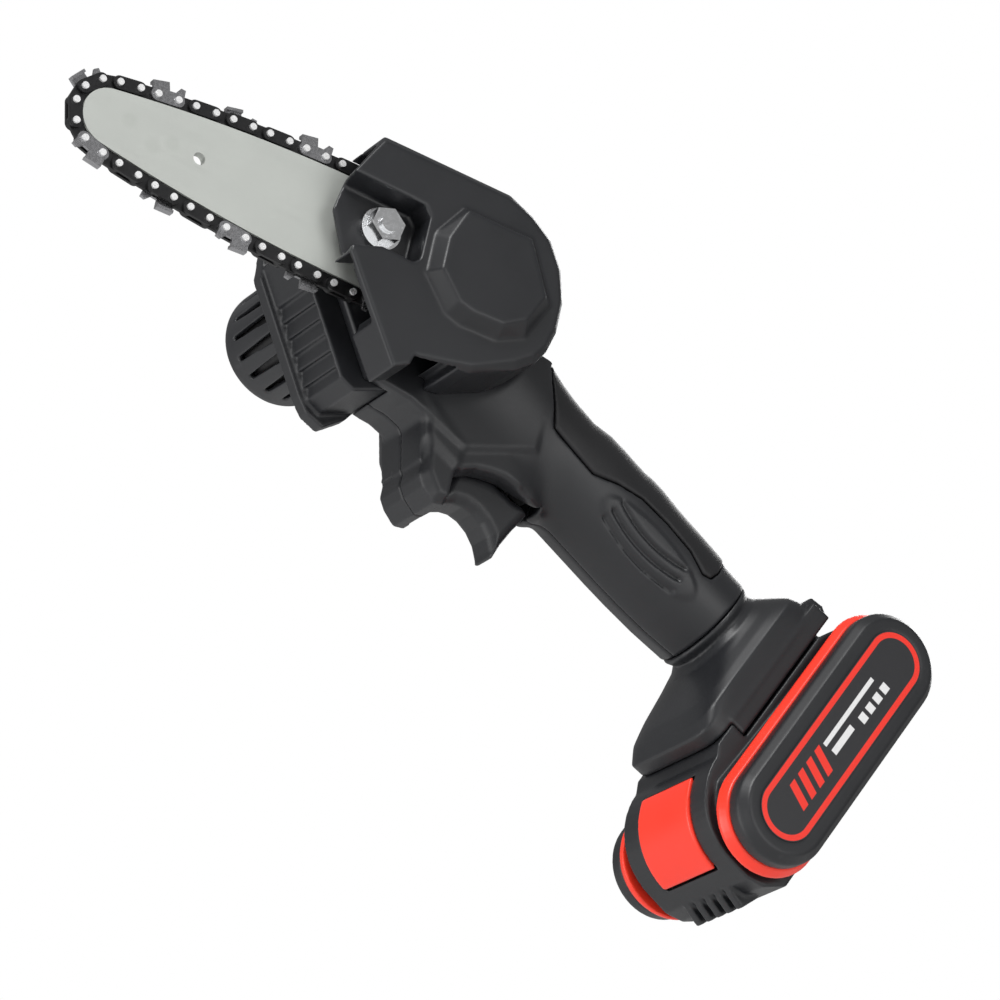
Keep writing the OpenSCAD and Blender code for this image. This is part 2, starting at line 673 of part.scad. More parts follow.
module housing_envelope() {
    plate(head_y, head_back_y) polygon(head);
    lower_block(0);
    hull() {
        plate(head_y + 4, 32) polygon([[-18, -41], [-12.6, -62.5], [-9.5, -66.5], [-4.8, -70],
            [-1.4, -69], [-1, -50]]);
        plate(head_y + 1, 35) polygon([[-15, -41], [-9.6, -61.5], [-4.8, -67], [-1.4, -67], [-1, -50]]);
    }
    intersection() {
        swell_region();
        union() {
            handle_loft(grip_depth + 0.05, handle_s0 - 4, handle_s1);
            difference() {
                handle_loft(0, handle_s0 - 4, handle_s1);
                grip_region(-5, 45);
            }
        }
    }
}
module housing_cavity() {
    plate(6.5, head_back_y - wall) polygon([[-53, 23.5], [-10, 24], [5, 17.5], [14.5, 4], [16, -10],
        [22, -14],
        [22, -38], [0, -47], [-21, -39.5], [-34, -38], [-54, -9], [-57, 0], [-56, 14]]);
    plate(7, 33) polygon([[-18, -30], [-14.5, -42], [-10.5, -58], [-8, -63], [-4, -65.5], [-4, -58],
        [2, -53.6],
        [6, -51.5], [20, -50.5], [23, -30], [18, -16], [10, -16]]);
    plate(10.5, 29.5) polygon([[18, -50.5], [37.5, -50.5], [39, -40], [30, -16], [18, -16]]);
    handle_loft(wall + grip_depth, handle_s0, handle_s1 + 1);
}
module housing_cuts() {
    // motor housing and its scoop, then the motor
    plate(scoop_y - 0.1, head_back_y + 1) in_motor2d()
        polygon([[-21.5, -3.2], [31.3, -3.2], [33.4, 4], [31.4, block_n - 2.7], [26.3, block_n + 0.4],
            [-21.5, block_n + 0.4]]);
    plate(head_back_y, 40) flange2d(1.01);
    rod(motor_x, motor_z, motor_r + 0.4, 20.5, 40);
    rod(drive_x, 0, 6.2, 0, 20);
    rod(drive_x, 0, 8.04, head_y + 0.1, 12);
    rod(stud_x, 0, 3.1, 0, 10);
    // opening for the trigger
    plate(12.4, 27.6) polygon([[-1.2, -90], [-1.2, -68], [-0.4, -60], [1.4, -50], [3.4, -42],
        [8, -38], [34, -47],
        [34, -62], [30, -90]]);
}
module housing_bosses() {
    difference() {
        rod(drive_x, 0, 10.5, head_y + 1, 9.2);
        rod(drive_x, 0, 8.04, head_y + 0.1, 12);
    }
    difference() {
        rod(mid_x, mid_z, 5, 6, 9);
        rod(mid_x, mid_z, pin_r + 0.05, 6.7, 10);
    }
}
// Housing screws: place, and how far the bosses reach into the left and right halves.
screw_spots = [[12, -19, 6, 28], [-20, 21, 6, 28], [31, -21, 11, 29], [-9, -56, 8, 32], [61, -36.4, 9, 31],
    [83, -47.4, 9, 31]];
module screw_bores(r, y0, y1) for (p = screw_spots) rod(p[0], p[1], r, y0, y1);
boss_r = 3.4;

module housing_left() finish(shell_black) difference() {
    union() {
        difference() {
            intersection() {
                housing_envelope();
                translate([-100, 0, -150]) cube([300, mid_y - 0.02, 250]);
            }
            housing_cavity();
            housing_cuts();
        }
        housing_bosses();
        for (p = screw_spots) rod(p[0], p[1], boss_r, p[2], mid_y - 0.02);
    }
    screw_bores(1.45, 9, mid_y + 1);
}
module housing_right() finish(shell_black) difference() {
    union() {
        difference() {
            intersection() {
                housing_envelope();
                translate([-100, mid_y + 0.02, -150]) cube([300, 40, 250]);
            }
            housing_cavity();
            housing_cuts();
        }
        for (p = screw_spots) rod(p[0], p[1], boss_r, mid_y + 0.02, p[3]);
    }
    screw_bores(1.6, mid_y - 1, 45);
    screw_bores(2.9, head_back_y - 4.4, 45);
}

module grip_rubber() finish(rubber_black) difference() {
    intersection() {
        in_handle() translate([0, 0, grip_rise]) handle_length(-0.3, handle_s0 - 4, handle_s1, handle_b);
        in_handle() plate(-5, 45) translate([0, 0.05]) intersection() {
            polygon(grip_side);
            translate([handle_s0 + 0.05, -20]) square([grip_end - handle_s0 - 0.1, 60]);
        }
    }
    handle_loft(grip_depth, handle_s0 - 5, handle_s1 + 1);
    plate(head_y - 1, head_back_y + 0.05) translate([0.05, 0.05]) polygon(head);
    lower_block(0.05);
}

module housing_screws() finish(steel) for (p = screw_spots) {
    rod(p[0], p[1], 1.4, 9.5, head_back_y - 4.3);
    rod(p[0], p[1], 2.7, head_back_y - 4.35, head_back_y - 1.9);
}

// ---------- trigger and switch ----------

trigger_half_w = 7;
trigger_top_w = -37;
trigger_side = [[-0.5, -67.5], [2.5, -64.3], [5.7, -62.9], [9, -62.5], [12.5, -63.4], [16, -65.6],
    [19, -69],
    [20.9, -73], [21.4, -74.8], [22.2, -74.8], [24.1, -69.4], [27.2, -63], [28.6, -60.7], [30.8, -56.5],
    [28.5, -54.5], [24.4, -53.74], [6.6, -44.77], [4.4, -46], [2.6, -52], [0.6, -60]];
module trigger() finish(shell_black) plate(mid_y - trigger_half_w, mid_y + trigger_half_w)
    polygon(trigger_side);

// The switch hangs in the handle above the trigger; its plunger stands on the trigger's top.
switch_s = 24;
switch_w = -27.5;
plunger_s = 30;
plunger_side = 6;
plunger_top_w = -24;
trigger_travel = 5;
module trigger_spring() finish(bright) in_handle()
    translate([41.5, mid_y, trigger_top_w + 0.05]) coil(3.3, 0.45, switch_w - trigger_top_w - 0.1, 5);
module switch_body() finish(shell_black) in_handle() difference() {
    translate([switch_s, mid_y - 8, switch_w]) cube([29, 16, 17]);
    translate([plunger_s - 0.05, mid_y - plunger_side / 2 - 0.05, switch_w - 1])
        cube([plunger_side + 0.1, plunger_side + 0.1, plunger_top_w + trigger_travel - switch_w + 1.4]);
}
module switch_plunger() finish(brass) in_handle()
    translate([plunger_s, mid_y - plunger_side / 2, trigger_top_w + 0.05])
        cube([plunger_side, plunger_side, plunger_top_w - trigger_top_w]);

// Two leads from the battery's contacts to the switch, two from the switch to the motor.
lead_r = 1.3;
module power_leads() finish(band_red) {
    in_handle() for (y = [-3.5, 3.5])
        translate([54.1, mid_y + y, -18]) rotate([0, 90, 0]) cylinder(r = lead_r, h = 78);
    for (z = [0, 2.8]) translate([12.2, mid_y + 6, -28.6 + z]) rotate([0, -74.9, 0]) cylinder(r = 0.9,
        h = 36.5);
}

// ---------- battery shoe ----------

shoe_half_w = 23;
waist_s = 122.5;
waist_in = 1.6;
module shoe_block() {
    hull() in_handle() {
        handle_length(0, handle_s1 + 0.05, handle_s1 + 0.2, handle_b);
        handle_length(waist_in, waist_s, waist_s + 0.1, handle_b);
    }
    hull() {
        in_handle() handle_length(waist_in, waist_s, waist_s + 0.1, handle_b);
        in_battery() plate(mid_y - shoe_half_w + 2, mid_y + shoe_half_w - 2)
            polygon([[128.5, -46], [134, -46], [134, 2], [129.5, 2]]);
    }
    in_battery() hull() {
        plate(mid_y - shoe_half_w, mid_y + shoe_half_w)
            polygon([[130.4, -49], [134, -57], [139.1, -58], [139.1, 6], [131, 4.6]]);
        plate(mid_y - shoe_half_w + 4, mid_y + shoe_half_w - 4)
            polygon([[127.5, -46], [129.5, -53], [133.4, -59.3], [139.1, -58.6], [139.1, 6], [129.6, 4]]);
    }
    in_battery() {
        plate(mid_y - shoe_half_w, mid_y + shoe_half_w) polygon([[139, -49], [144.2, -49],
            [144.2, 6.6], [139, 6]]);
        plate(mid_y - shoe_half_w + 3, mid_y - shoe_half_w + 12)
            polygon([[134, 4], [143.6, 5], [143.6, 8.5], [141, 10], [136.5, 9.2]]);
    }
}
module battery_shoe() finish(shell_black) difference() {
    shoe_block();
    in_battery() {
        plate(mid_y - 17.2, mid_y + 17.2) polygon([[139.2, -100], [146, -100], [146, 3], [139.2, 3]]);
        plate(mid_y - 19.4, mid_y + 19.4) polygon([[139.2, -100], [142.3, -100], [142.3, 3], [139.2, 3]]);
        plate(mid_y - 9, mid_y + 9) polygon([[131, -36], [139.3, -36], [139.3, -10], [131, -10]]);
    }
    in_handle() translate([handle_s1 - 1, mid_y - 6, -24]) cube([14, 12, 12]);
}
module terminal_block() finish(rubber_black) in_battery() plate(mid_y - 8.5, mid_y + 8.5)
    polygon([[132.5, -30], [139.1, -30], [139.1, -12], [132.5, -12]]);
module contact_blades() finish(brass) in_battery() for (y = [-5, 0, 5])
    translate([0, mid_y + y, 0]) plate(-0.4, 0.4)
        polygon([[139.15, -17], [144.6, -17], [144.6, -27], [139.15, -27]]);

// ---------- battery ----------

module stadium2d(r, half_len) { slot2d([pod_n, pod_u - half_len + r], [pod_n, pod_u + half_len - r], r); }
band_w = 4.3;
pod_step = 1.8;
pod_round = 2.6;
label_r = 9.9;
label_half_len = 44.3;

// The rounded front corner below the shoe, where the latch button sits.
corner_n = 164.4;
corner_u = -61.9;
corner_r = 23.1;
latch_turn = -37.5;
latch_r = corner_r + 0.8;
latch_t = 2.3;
latch_travel = 2.3;
latch_half_len = 14.5;
latch_half_w = 14;
latch_flat = -18;
spring_x = -9;
module at_corner2d() { translate([corner_n, corner_u]) rotate(latch_turn) children(); }
// The same place in three dimensions, with Z pointing into the battery.
module at_corner(x, inwards) {
    in_battery() translate([corner_n, mid_y, corner_u]) rotate([0, -latch_turn, 0]) translate([x, 0,
        inwards])
        children();
}
module latch_pocket2d() difference() {
    translate([-latch_half_len - 0.2, -latch_r - 5]) square([2 * latch_half_len + 0.4, latch_r + 5 - 15.5]);
    translate([0, latch_travel + 0.2]) circle(latch_r - latch_t - 0.1);
}

// The body's other end, rounded like the pods' ends.
end_u = 1;
end_r = 17.3;
// The flat base the saw stands on.
base_n = 183.6;
nose = concat([[139.3, -49.2], [139.3, -58.2],
    [141.3, corner_u]], arc(corner_n, corner_u, corner_r, 180, 270, 12),
    [[172, -85.2], [178, -83], [base_n, -77], [base_n, -4]], arc(pod_n, end_u, end_r, 12, 165, 12),
    [[145, -2], [145, -49.2]]);
core = concat(arc(corner_n, corner_u, corner_r - 4, 200, 264, 6), [[166, -82], [174, -81], [180.9, -75]],
    arc(pod_n, end_u, end_r - 1.3, 0, 165, 12));
core_space = concat([[150.8, 5]], arc(corner_n, corner_u, corner_r - 5.3, 229.8, 258, 4), [[163.5, -79.9],
    [170, -79.9], [178.5, -73], [178, 5], [173, 13], [167, 15.2], [160, 14.5], [154, 9]]);
rib_side = [[168, -83], [174, -86.2], [179.5, -87.2], [182, -80], [180, -78]];
rib_step = 5.5;
module battery_body() finish(shell_black) difference() {
    in_battery() union() {
        plate(mid_y - 23, mid_y + 23) polygon(nose);
        plate(mid_y - core_half_w, mid_y + core_half_w) polygon(core);
        plate(mid_y - 17, mid_y + 17) polygon([[139.4, -50], [146, -50], [146, 2.6], [139.4, 2.6]]);
        plate(mid_y - 19.2, mid_y + 19.2) polygon([[139.4, -49.3], [142.1, -49.3], [142.1, 2.6],
            [139.4, 2.6]]);
        for (i = [-2 : 2]) plate(mid_y + i * rib_step - 1.5, mid_y + i * rib_step + 1.5) polygon(rib_side);
    }
    in_battery() {
        // inner space for cells and board
        plate(mid_y - core_half_w - 1, mid_y + core_half_w + 1) polygon(core_space);
        plate(mid_y - 12, mid_y + 12) polygon([[141.5, -29], [152.5, -29], [152.5, -9], [141.5, -9]]);
        // slots for the contact blades
        for (y = [-5, 0, 5]) translate([0, mid_y + y, 0]) plate(-0.8, 0.8)
            polygon([[139, -30], [144.9, -30], [144.9, 4], [139, 4]]);
        // pocket for the latch button
        plate(mid_y - latch_half_w - 0.2, mid_y + latch_half_w + 0.2) at_corner2d() latch_pocket2d();
    }
    at_corner(spring_x, latch_flat - 5) cylinder(r = 3.6, h = 10.5);
}
module pod_side(side) {
    m = side < 0 ? 0 : 1;
    in_battery() translate([0, mid_y, 0]) mirror([0, m, 0]) children();
}
module pod() {
    difference() {
        union() {
            hull() {
                plate(-battery_half_w + 3, -core_half_w - band_w - 0.05) stadium2d(pod_r - pod_step,
                    pod_half_len - pod_step);
                plate(-battery_half_w, -battery_half_w + 0.1)
                    stadium2d(pod_r - pod_step - pod_round, pod_half_len - pod_step - pod_round);
            }
            plate(-core_half_w - band_w - 0.1, -core_half_w - 0.05) stadium2d(pod_r - 4, pod_half_len - 4);
        }
        plate(-battery_half_w + 2.5, -core_half_w + 1) stadium2d(pod_r - 6.5, pod_half_len - 5.5);
        plate(-battery_half_w - 1, -battery_half_w + 0.5) stadium2d(label_r + 0.1, label_half_len + 0.1);
    }
}
module band() {
    hull() {
        plate(-core_half_w - 1.6, -core_half_w - 0.05) stadium2d(pod_r, pod_half_len);
        plate(-core_half_w - band_w, -core_half_w - band_w + 0.05)
            stadium2d(pod_r - pod_step + 0.2, pod_half_len - pod_step + 0.2);
    }
}
module band_ring() {
    difference() {
        band();
        plate(-core_half_w - band_w - 1, -core_half_w + 1) stadium2d(pod_r - 3.95, pod_half_len - 3.95);
    }
}
module battery_pod_left() finish(shell_black) pod_side(-1) pod();
module battery_pod_right() finish(shell_black) pod_side(1) pod();
module battery_band_left() finish(band_red) pod_side(-1) band_ring();
module battery_band_right() finish(band_red) pod_side(1) band_ring();
module label() { plate(-battery_half_w + 0.02, -battery_half_w + 0.48) stadium2d(label_r, label_half_len); }
module battery_label_left() finish(band_red) pod_side(-1) label();
module battery_label_right() finish(band_red) pod_side(1) label();

cells = 5;
cell_r = 9.1;
cell_step = 18.5;
cell_half_len = 32.5;
cells_u = pod_u + 0.7;
module battery_cells() finish([0.2, 0.45, 0.7]) in_battery() for (i = [0 : cells - 1])
    rod(pod_n, cells_u + (i - 2) * cell_step, cell_r, mid_y - cell_half_len, mid_y + cell_half_len);
module cell_holders() finish(rubber_black) in_battery() for (m = [0, 1]) translate([0, mid_y, 0])
    mirror([0, m, 0])
    plate(19, 24) difference() {
        slot2d([pod_n, cells_u - 2 * cell_step], [pod_n, cells_u + 2 * cell_step], 10);
        for (i = [0 : cells - 1]) translate([pod_n, cells_u + (i - 2) * cell_step]) circle(cell_r + 0.05);
    }
module battery_board() finish([0.1, 0.4, 0.2]) in_battery() translate([152.8, mid_y - 18.8, -60])
    cube([1.4, 37.6, 62]);
module battery_contacts() finish(brass) in_battery() for (y = [-5, 0, 5], q = [-1, 1])
    translate([0, mid_y + y, 0]) plate(q * 0.85 - 0.4, q * 0.85 + 0.4)
        polygon([[142.3, -27], [152.7, -27], [152.7, -19], [142.3, -19]]);

module latch_button() finish(band_red) {
    in_battery() plate(mid_y - latch_half_w, mid_y + latch_half_w) at_corner2d() intersection() {
        difference() {
            circle(latch_r);
            circle(latch_r - latch_t);
        }
        translate([-latch_half_len, -latch_r - 1]) square([2 * latch_half_len, latch_r + 1 + latch_flat]);
    }
    at_corner(spring_x, latch_flat - 2.2) cylinder(r = 3, h = 2.2);
}
module latch_spring() finish(bright) at_corner(spring_x, latch_flat + 0.02) coil(2.6, 0.35, 5.4, 3);
guide_bar();
chain_drive_links();
chain_tie_straps();
chain_cutters_left();
chain_cutters_right();
chain_rivets();
drive_sprocket();
sprocket_washer();
sprocket_circlip();
output_shaft();
output_gear();
output_bearing_front();
output_bearing_rear();
intermediate_gear();
intermediate_pin();
motor_pinion();
motor_shaft();
rotor_core();
commutator();
motor_can();
motor_magnets();
motor_end_bell();
motor_screws();
gear_plate();
bar_plate();
bar_stud();
bar_nut();
chain_cover();
motor_housing();
motor_cap();
housing_left();
housing_right();
grip_rubber();
housing_screws();
trigger();
trigger_spring();
switch_body();
switch_plunger();
power_leads();
battery_shoe();
terminal_block();
contact_blades();
battery_body();
battery_pod_left();
battery_pod_right();
battery_band_left();
battery_band_right();
battery_label_left();
battery_label_right();
battery_cells();
cell_holders();
battery_board();
battery_contacts();
latch_button();
latch_spring();
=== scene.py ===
"""Looks for a cordless one-hand pruning chainsaw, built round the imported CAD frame.

Moulded shells that blend into each other (housing halves, rubber grip, battery shoe and
trigger) are drawn as distance fields in numpy, in millimetres, and meshed with a surface net.
The two springs that a joint shortens are copies of their CAD coils. The other parts are the CAD
nodes themselves, with their edges softened by modifiers.
"""
import bpy
import math
import numpy as np
from itertools import product
from mathutils import Matrix, Vector

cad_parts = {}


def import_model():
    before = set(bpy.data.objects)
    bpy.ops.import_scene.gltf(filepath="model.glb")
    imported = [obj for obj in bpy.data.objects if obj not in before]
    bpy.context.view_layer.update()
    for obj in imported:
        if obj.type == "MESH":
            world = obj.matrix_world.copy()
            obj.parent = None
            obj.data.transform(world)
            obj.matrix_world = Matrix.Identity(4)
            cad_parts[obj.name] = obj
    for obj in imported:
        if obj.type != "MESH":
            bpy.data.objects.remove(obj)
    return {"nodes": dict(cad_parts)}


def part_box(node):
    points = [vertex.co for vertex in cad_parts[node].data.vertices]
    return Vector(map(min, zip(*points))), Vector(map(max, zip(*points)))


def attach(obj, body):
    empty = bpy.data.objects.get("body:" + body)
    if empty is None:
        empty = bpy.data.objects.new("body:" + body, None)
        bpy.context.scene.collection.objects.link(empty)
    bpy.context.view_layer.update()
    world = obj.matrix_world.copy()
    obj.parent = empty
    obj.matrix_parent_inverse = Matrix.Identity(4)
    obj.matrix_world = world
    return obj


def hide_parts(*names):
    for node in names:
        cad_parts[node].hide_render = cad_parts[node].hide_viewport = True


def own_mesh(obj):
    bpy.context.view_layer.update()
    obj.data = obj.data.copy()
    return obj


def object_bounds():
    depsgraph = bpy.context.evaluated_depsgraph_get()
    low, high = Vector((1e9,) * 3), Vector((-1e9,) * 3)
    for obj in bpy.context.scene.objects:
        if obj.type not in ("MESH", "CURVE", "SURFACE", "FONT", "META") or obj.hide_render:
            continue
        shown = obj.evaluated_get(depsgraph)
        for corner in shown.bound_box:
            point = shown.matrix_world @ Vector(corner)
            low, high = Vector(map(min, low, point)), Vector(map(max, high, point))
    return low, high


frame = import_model()
CAD_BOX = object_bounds()
NODES = frame["nodes"]
MM = 0.001

# Measures are taken from a point on the bar's middle line, this far behind the sprocket.
DRIVE_X = -12.94
low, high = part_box("drive_sprocket")
ORIGIN = (low + high) / 2 - Vector((DRIVE_X * MM, 0, 0))

HANDLE_TILT = math.radians(26.74)
BATTERY_TILT = math.radians(25.2)
MID_Y = 20.0


def to_world(p):
    """Millimetres from ORIGIN to row-frame metres."""
    return np.asarray(p, float) * MM + np.array(ORIGIN)


# ---------- distance fields ----------

class Grid:
    """A box of sample points, in millimetres from ORIGIN."""

    def __init__(self, lo, hi, step):
        self.lo, self.step = np.array(lo, float), step
        counts = np.ceil((np.array(hi, float) - self.lo) / step).astype(int) + 1
        axes = [self.lo[i] + step * np.arange(counts[i]) for i in range(3)]
        self.x = axes[0][:, None, None].astype(np.float32)
        self.y = axes[1][None, :, None].astype(np.float32)
        self.z = axes[2][None, None, :].astype(np.float32)

    def tilted(self, angle):
        """Coordinates down and across a frame tilted below the bar axis, like the CAD's."""
        c, s = math.cos(angle), math.sin(angle)
        return self.x * c - self.z * s, self.x * s + self.z * c


def polygon(px, pz, points):
    """Signed distance to a closed flat outline, negative inside."""
    px, pz = np.broadcast_arrays(px, pz)
    best = np.full(px.shape, 1e9, np.float32)
    inside = np.zeros(px.shape, bool)
    for i, (bx, bz) in enumerate(points):
        ax, az = points[i - 1]
        ex, ez = bx - ax, bz - az
        wx, wz = px - ax, pz - az
        t = np.clip((wx * ex + wz * ez) / (ex * ex + ez * ez), 0, 1)
        best = np.minimum(best, (wx - ex * t) ** 2 + (wz - ez * t) ** 2)
        if az != bz:
            crosses = (az <= pz) != (bz <= pz)
            inside ^= crosses & (px < ax + (pz - az) / (bz - az) * ex)
    return np.where(inside, -1, 1).astype(np.float32) * np.sqrt(best)


def extrude(flat, across, half, rounding=0.0):
    """A flat shape given a thickness of 2 * half, with rounded edges."""
    a, b = flat + rounding, np.abs(across) - half + rounding
    a, b = np.broadcast_arrays(a, b)
    outside = np.hypot(np.maximum(a, 0), np.maximum(b, 0))
    return np.minimum(np.maximum(a, b), 0) + outside - rounding


def slab(flat, y, y0, y1, rounding=0.0):
    """A flat shape standing from y0 to y1."""
    return extrude(flat, y - (y0 + y1) / 2, (y1 - y0) / 2, rounding)


def rod(g, x, z, r, y0, y1):
    """A round bar along y."""
    return slab(np.hypot(g.x - x, g.z - z) - r, g.y, y0, y1)


def join(a, b, k=0.0):
    """Union, with a fillet of about k where the two meet."""
    if k == 0:
        return np.minimum(a, b)
    h = np.clip(0.5 + 0.5 * (b - a) / k, 0, 1)
    return b * (1 - h) + a * h - k * h * (1 - h)


def cut(a, b, k=0.0):
    """a less b, with the new edge rounded by about k."""
    return -join(-a, b, k)


def surface_net(grid, field):
    """Vertices and quads of the field's zero surface."""
    inside = field < 0
    shape = np.array(field.shape) - 1
    count = np.zeros(shape, np.int8)
    for i, j, k in product((0, 1), repeat=3):
        count += inside[i:shape[0] + i, j:shape[1] + j, k:shape[2] + k]
    active = (count > 0) & (count < 8)
    index = np.full(shape, -1, np.int32)
    index[active] = np.arange(active.sum())
    cells = np.argwhere(active)
    total, hits = np.zeros((len(cells), 3)), np.zeros(len(cells))
    for axis in range(3):
        others = [a for a in range(3) if a != axis]
        for i, j in product((0, 1), repeat=2):
            corner = np.zeros(3, int)
            corner[others[0]], corner[others[1]] = i, j
            end = corner.copy()
            end[axis] = 1
            da = field[tuple((cells + corner).T)]
            db = field[tuple((cells + end).T)]
            crossed = (da < 0) != (db < 0)
            t = np.where(crossed, da / np.where(crossed, da - db, 1), 0)
            point = cells + corner
            point = point + t[:, None] * (end - corner)
            total[crossed] += point[crossed]
            hits[crossed] += 1
    verts = grid.lo + grid.step * total / hits[:, None]
    quads = []
    for axis in range(3):
        b, c = [(axis + 1) % 3, (axis + 2) % 3]
        first = [slice(None)] * 3
        second = [slice(None)] * 3
        first[axis], second[axis] = slice(0, -1), slice(1, None)
        start = inside[tuple(first)]
        changed = start != inside[tuple(second)]
        at = np.argwhere(changed)
        whole = (at[:, b] > 0) & (at[:, c] > 0) & (at[:, b] < shape[b]) & (at[:, c] < shape[c])
        at = at[whole]
        outward = start[tuple(at.T)]
        ring = []
        for db, dc in ((-1, -1), (0, -1), (0, 0), (-1, 0)):
            cell = at.copy()
            cell[:, b] += db
            cell[:, c] += dc
            ring.append(index[tuple(cell.T)])
        ring = np.stack(ring, 1)
        ring[~outward] = ring[~outward][:, ::-1]
        quads.append(ring)
    return verts, np.concatenate(quads)


# One step of smoothing forward and a slightly longer one back.
RELAX_SHARES = (0.5, -0.51)
RELAX_ROUNDS = 2


def relax(verts, quads, rounds):
    """A little Laplacian smoothing, forward and back so that nothing shrinks."""
    edges = np.concatenate([quads[:, [0, 1]], quads[:, [1, 2]], quads[:, [2, 3]], quads[:, [3,
                           0]]])
    a, b = edges[:, 0], edges[:, 1]
    degree = np.bincount(a, minlength=len(verts)).astype(float)[:, None]
    for i in range(rounds):
        for share in RELAX_SHARES:
            mean = np.stack([np.bincount(a, verts[b, k], len(verts)) for k in range(3)], 1)
            verts = verts + share * (mean / degree - verts)
    return verts


def mesh_piece(name, verts, faces, material, body, replaces):
    """A mesh object in the row frame that rides on a body."""
    mesh = bpy.data.meshes.new(name)
    mesh.from_pydata(to_world(verts).tolist(), [], np.asarray(faces).tolist())
    mesh.polygons.foreach_set("use_smooth", [True] * len(mesh.polygons))
    mesh.materials.append(material)
    obj = bpy.data.objects.new(name, mesh)
    bpy.context.scene.collection.objects.link(obj)
    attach(obj, body)
    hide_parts(*replaces)


def field_piece(name, grid, field, material, body, replaces):
    """The field's zero surface, smoothed, as a piece that replaces CAD nodes."""
    verts, quads = surface_net(grid, field)
    mesh_piece(name, relax(verts, quads, RELAX_ROUNDS), quads, material, body, replaces)


# ---------- materials ----------

class Nodes:
    """Short calls for building a node material."""

    def __init__(self, name):
        self.material = bpy.data.materials.new(name)
        self.material.use_nodes = True
        self.tree = self.material.node_tree
        self.shader = self.tree.nodes["Principled BSDF"]
        self.place = self.add("ShaderNodeTexCoord").outputs["Object"]

    def add(self, kind, **settings):
        node = self.tree.nodes.new(kind)
        for key, value in settings.items():
            setattr(node, key, value)
        return node

    def link(self, source, target):
        if isinstance(source, (int, float, tuple, list)):
            target.default_value = source
        else:
            self.tree.links.new(source, target)

    def math(self, operation, *values, clamp=False):
        node = self.add("ShaderNodeMath", operation=operation, use_clamp=clamp)
        for i, value in enumerate(values):
            self.link(value, node.inputs[i])
        return node.outputs[0]

    def noise(self, scale, detail=2.0, stretch=None):
        place = self.place
        if stretch:
            mapping = self.add("ShaderNodeMapping")
            mapping.inputs["Scale"].default_value = stretch
            self.link(place, mapping.inputs["Vector"])
            place = mapping.outputs[0]
        node = self.add("ShaderNodeTexNoise")
        self.link(place, node.inputs["Vector"])
        node.inputs["Scale"].default_value = scale
        node.inputs["Detail"].default_value = detail
        return node.outputs["Fac"]

    def spread(self, value, lo, hi):
        """A noise value, whose middle range becomes lo to hi."""
        node = self.add("ShaderNodeMapRange")
        self.link(value, node.inputs["Value"])
        node.inputs["From Min"].default_value = 0.3
        node.inputs["From Max"].default_value = 0.7
        node.inputs["To Min"].default_value = lo
        node.inputs["To Max"].default_value = hi
        return node.outputs[0]

    def mix(self, factor, a, b):
        node = self.add("ShaderNodeMix", data_type="RGBA")
        self.link(factor, node.inputs["Factor"])
        for value, target in ((a, node.inputs[6]), (b, node.inputs[7])):
            self.link((*value, 1) if isinstance(value, tuple) else value, target)
        return node.outputs[2]

    def bump(self, height, strength, distance, below=None):
        node = self.add("ShaderNodeBump")
        node.inputs["Strength"].default_value = strength
        node.inputs["Distance"].default_value = distance
        self.link(height, node.inputs["Height"])
        if below is not None:
            self.link(below, node.inputs["Normal"])
        return node.outputs[0]

    def edges(self, lo=0.5, hi=0.56):
        """0 on flats and 1 on sharp outer edges."""
        point = self.add("ShaderNodeNewGeometry").outputs["Pointiness"]
        node = self.add("ShaderNodeMapRange")
        self.link(point, node.inputs["Value"])
        node.inputs["From Min"].default_value = lo
        node.inputs["From Max"].default_value = hi
        return node.outputs[0]

    def finish(self, colour, rough, normal=None, metal=0.0, **more):
        base = (*colour, 1) if isinstance(colour, tuple) else colour
        self.link(base, self.shader.inputs["Base Color"])
        self.link(rough, self.shader.inputs["Roughness"])
        self.shader.inputs["Metallic"].default_value = metal
        if normal is not None:
            self.link(normal, self.shader.inputs["Normal"])
        for key, value in more.items():
            self.shader.inputs[key.replace("_", " ")].default_value = value
        return self.material


# Bump strengths; each material adds its own depth in metres.
PLASTIC_BUMP, METAL_BUMP = 0.15, 0.3


def plastic(name, colour, rough, grain=1600, depth=0.00004, edge_highlight=0.25, specular=0.5):
    """Moulded plastic: fine texture, uneven sheen and sharp edges painted lighter as a highlight.
    """
    n = Nodes(name)
    fine = n.noise(grain, 3.0)
    patches = n.noise(45, 4.0)
    highlight_colour = tuple(min(1, c * 1.9 + 0.012) for c in colour)
    base = n.mix(n.spread(patches, 0.0, 0.35), colour, tuple(c * 1.25 for c in colour))
    # Painted highlight: sharp edges, found by their pointiness, are mixed towards a lighter
    # colour.
    base = n.mix(n.math("MULTIPLY", n.edges(), edge_highlight), base, highlight_colour)
    roughness = n.math("ADD", n.spread(patches, rough - 0.04, rough + 0.05),
                       n.spread(fine, -0.03, 0.03))
    return n.finish(base, roughness, n.bump(fine, PLASTIC_BUMP, depth),
                    Specular_IOR_Level=specular)


def metal(name, colour, rough, grain, tint=0.12, metallic=1.0, depth=0.00002):
    """Bare or plated metal with a fine grain."""
    n = Nodes(name)
    lines = n.noise(grain, 2.0)
    patches = n.noise(60, 3.0)
    darker = tuple(c * (1 - tint * 2) for c in colour)
    base = n.mix(n.spread(patches, 0.0, 1.0), colour, darker)
    roughness = n.math("ADD", n.spread(lines, rough - 0.07, rough + 0.07),
                       n.spread(patches, -0.04, 0.04))
    return n.finish(base, roughness, n.bump(lines, METAL_BUMP, depth), metal=metallic)


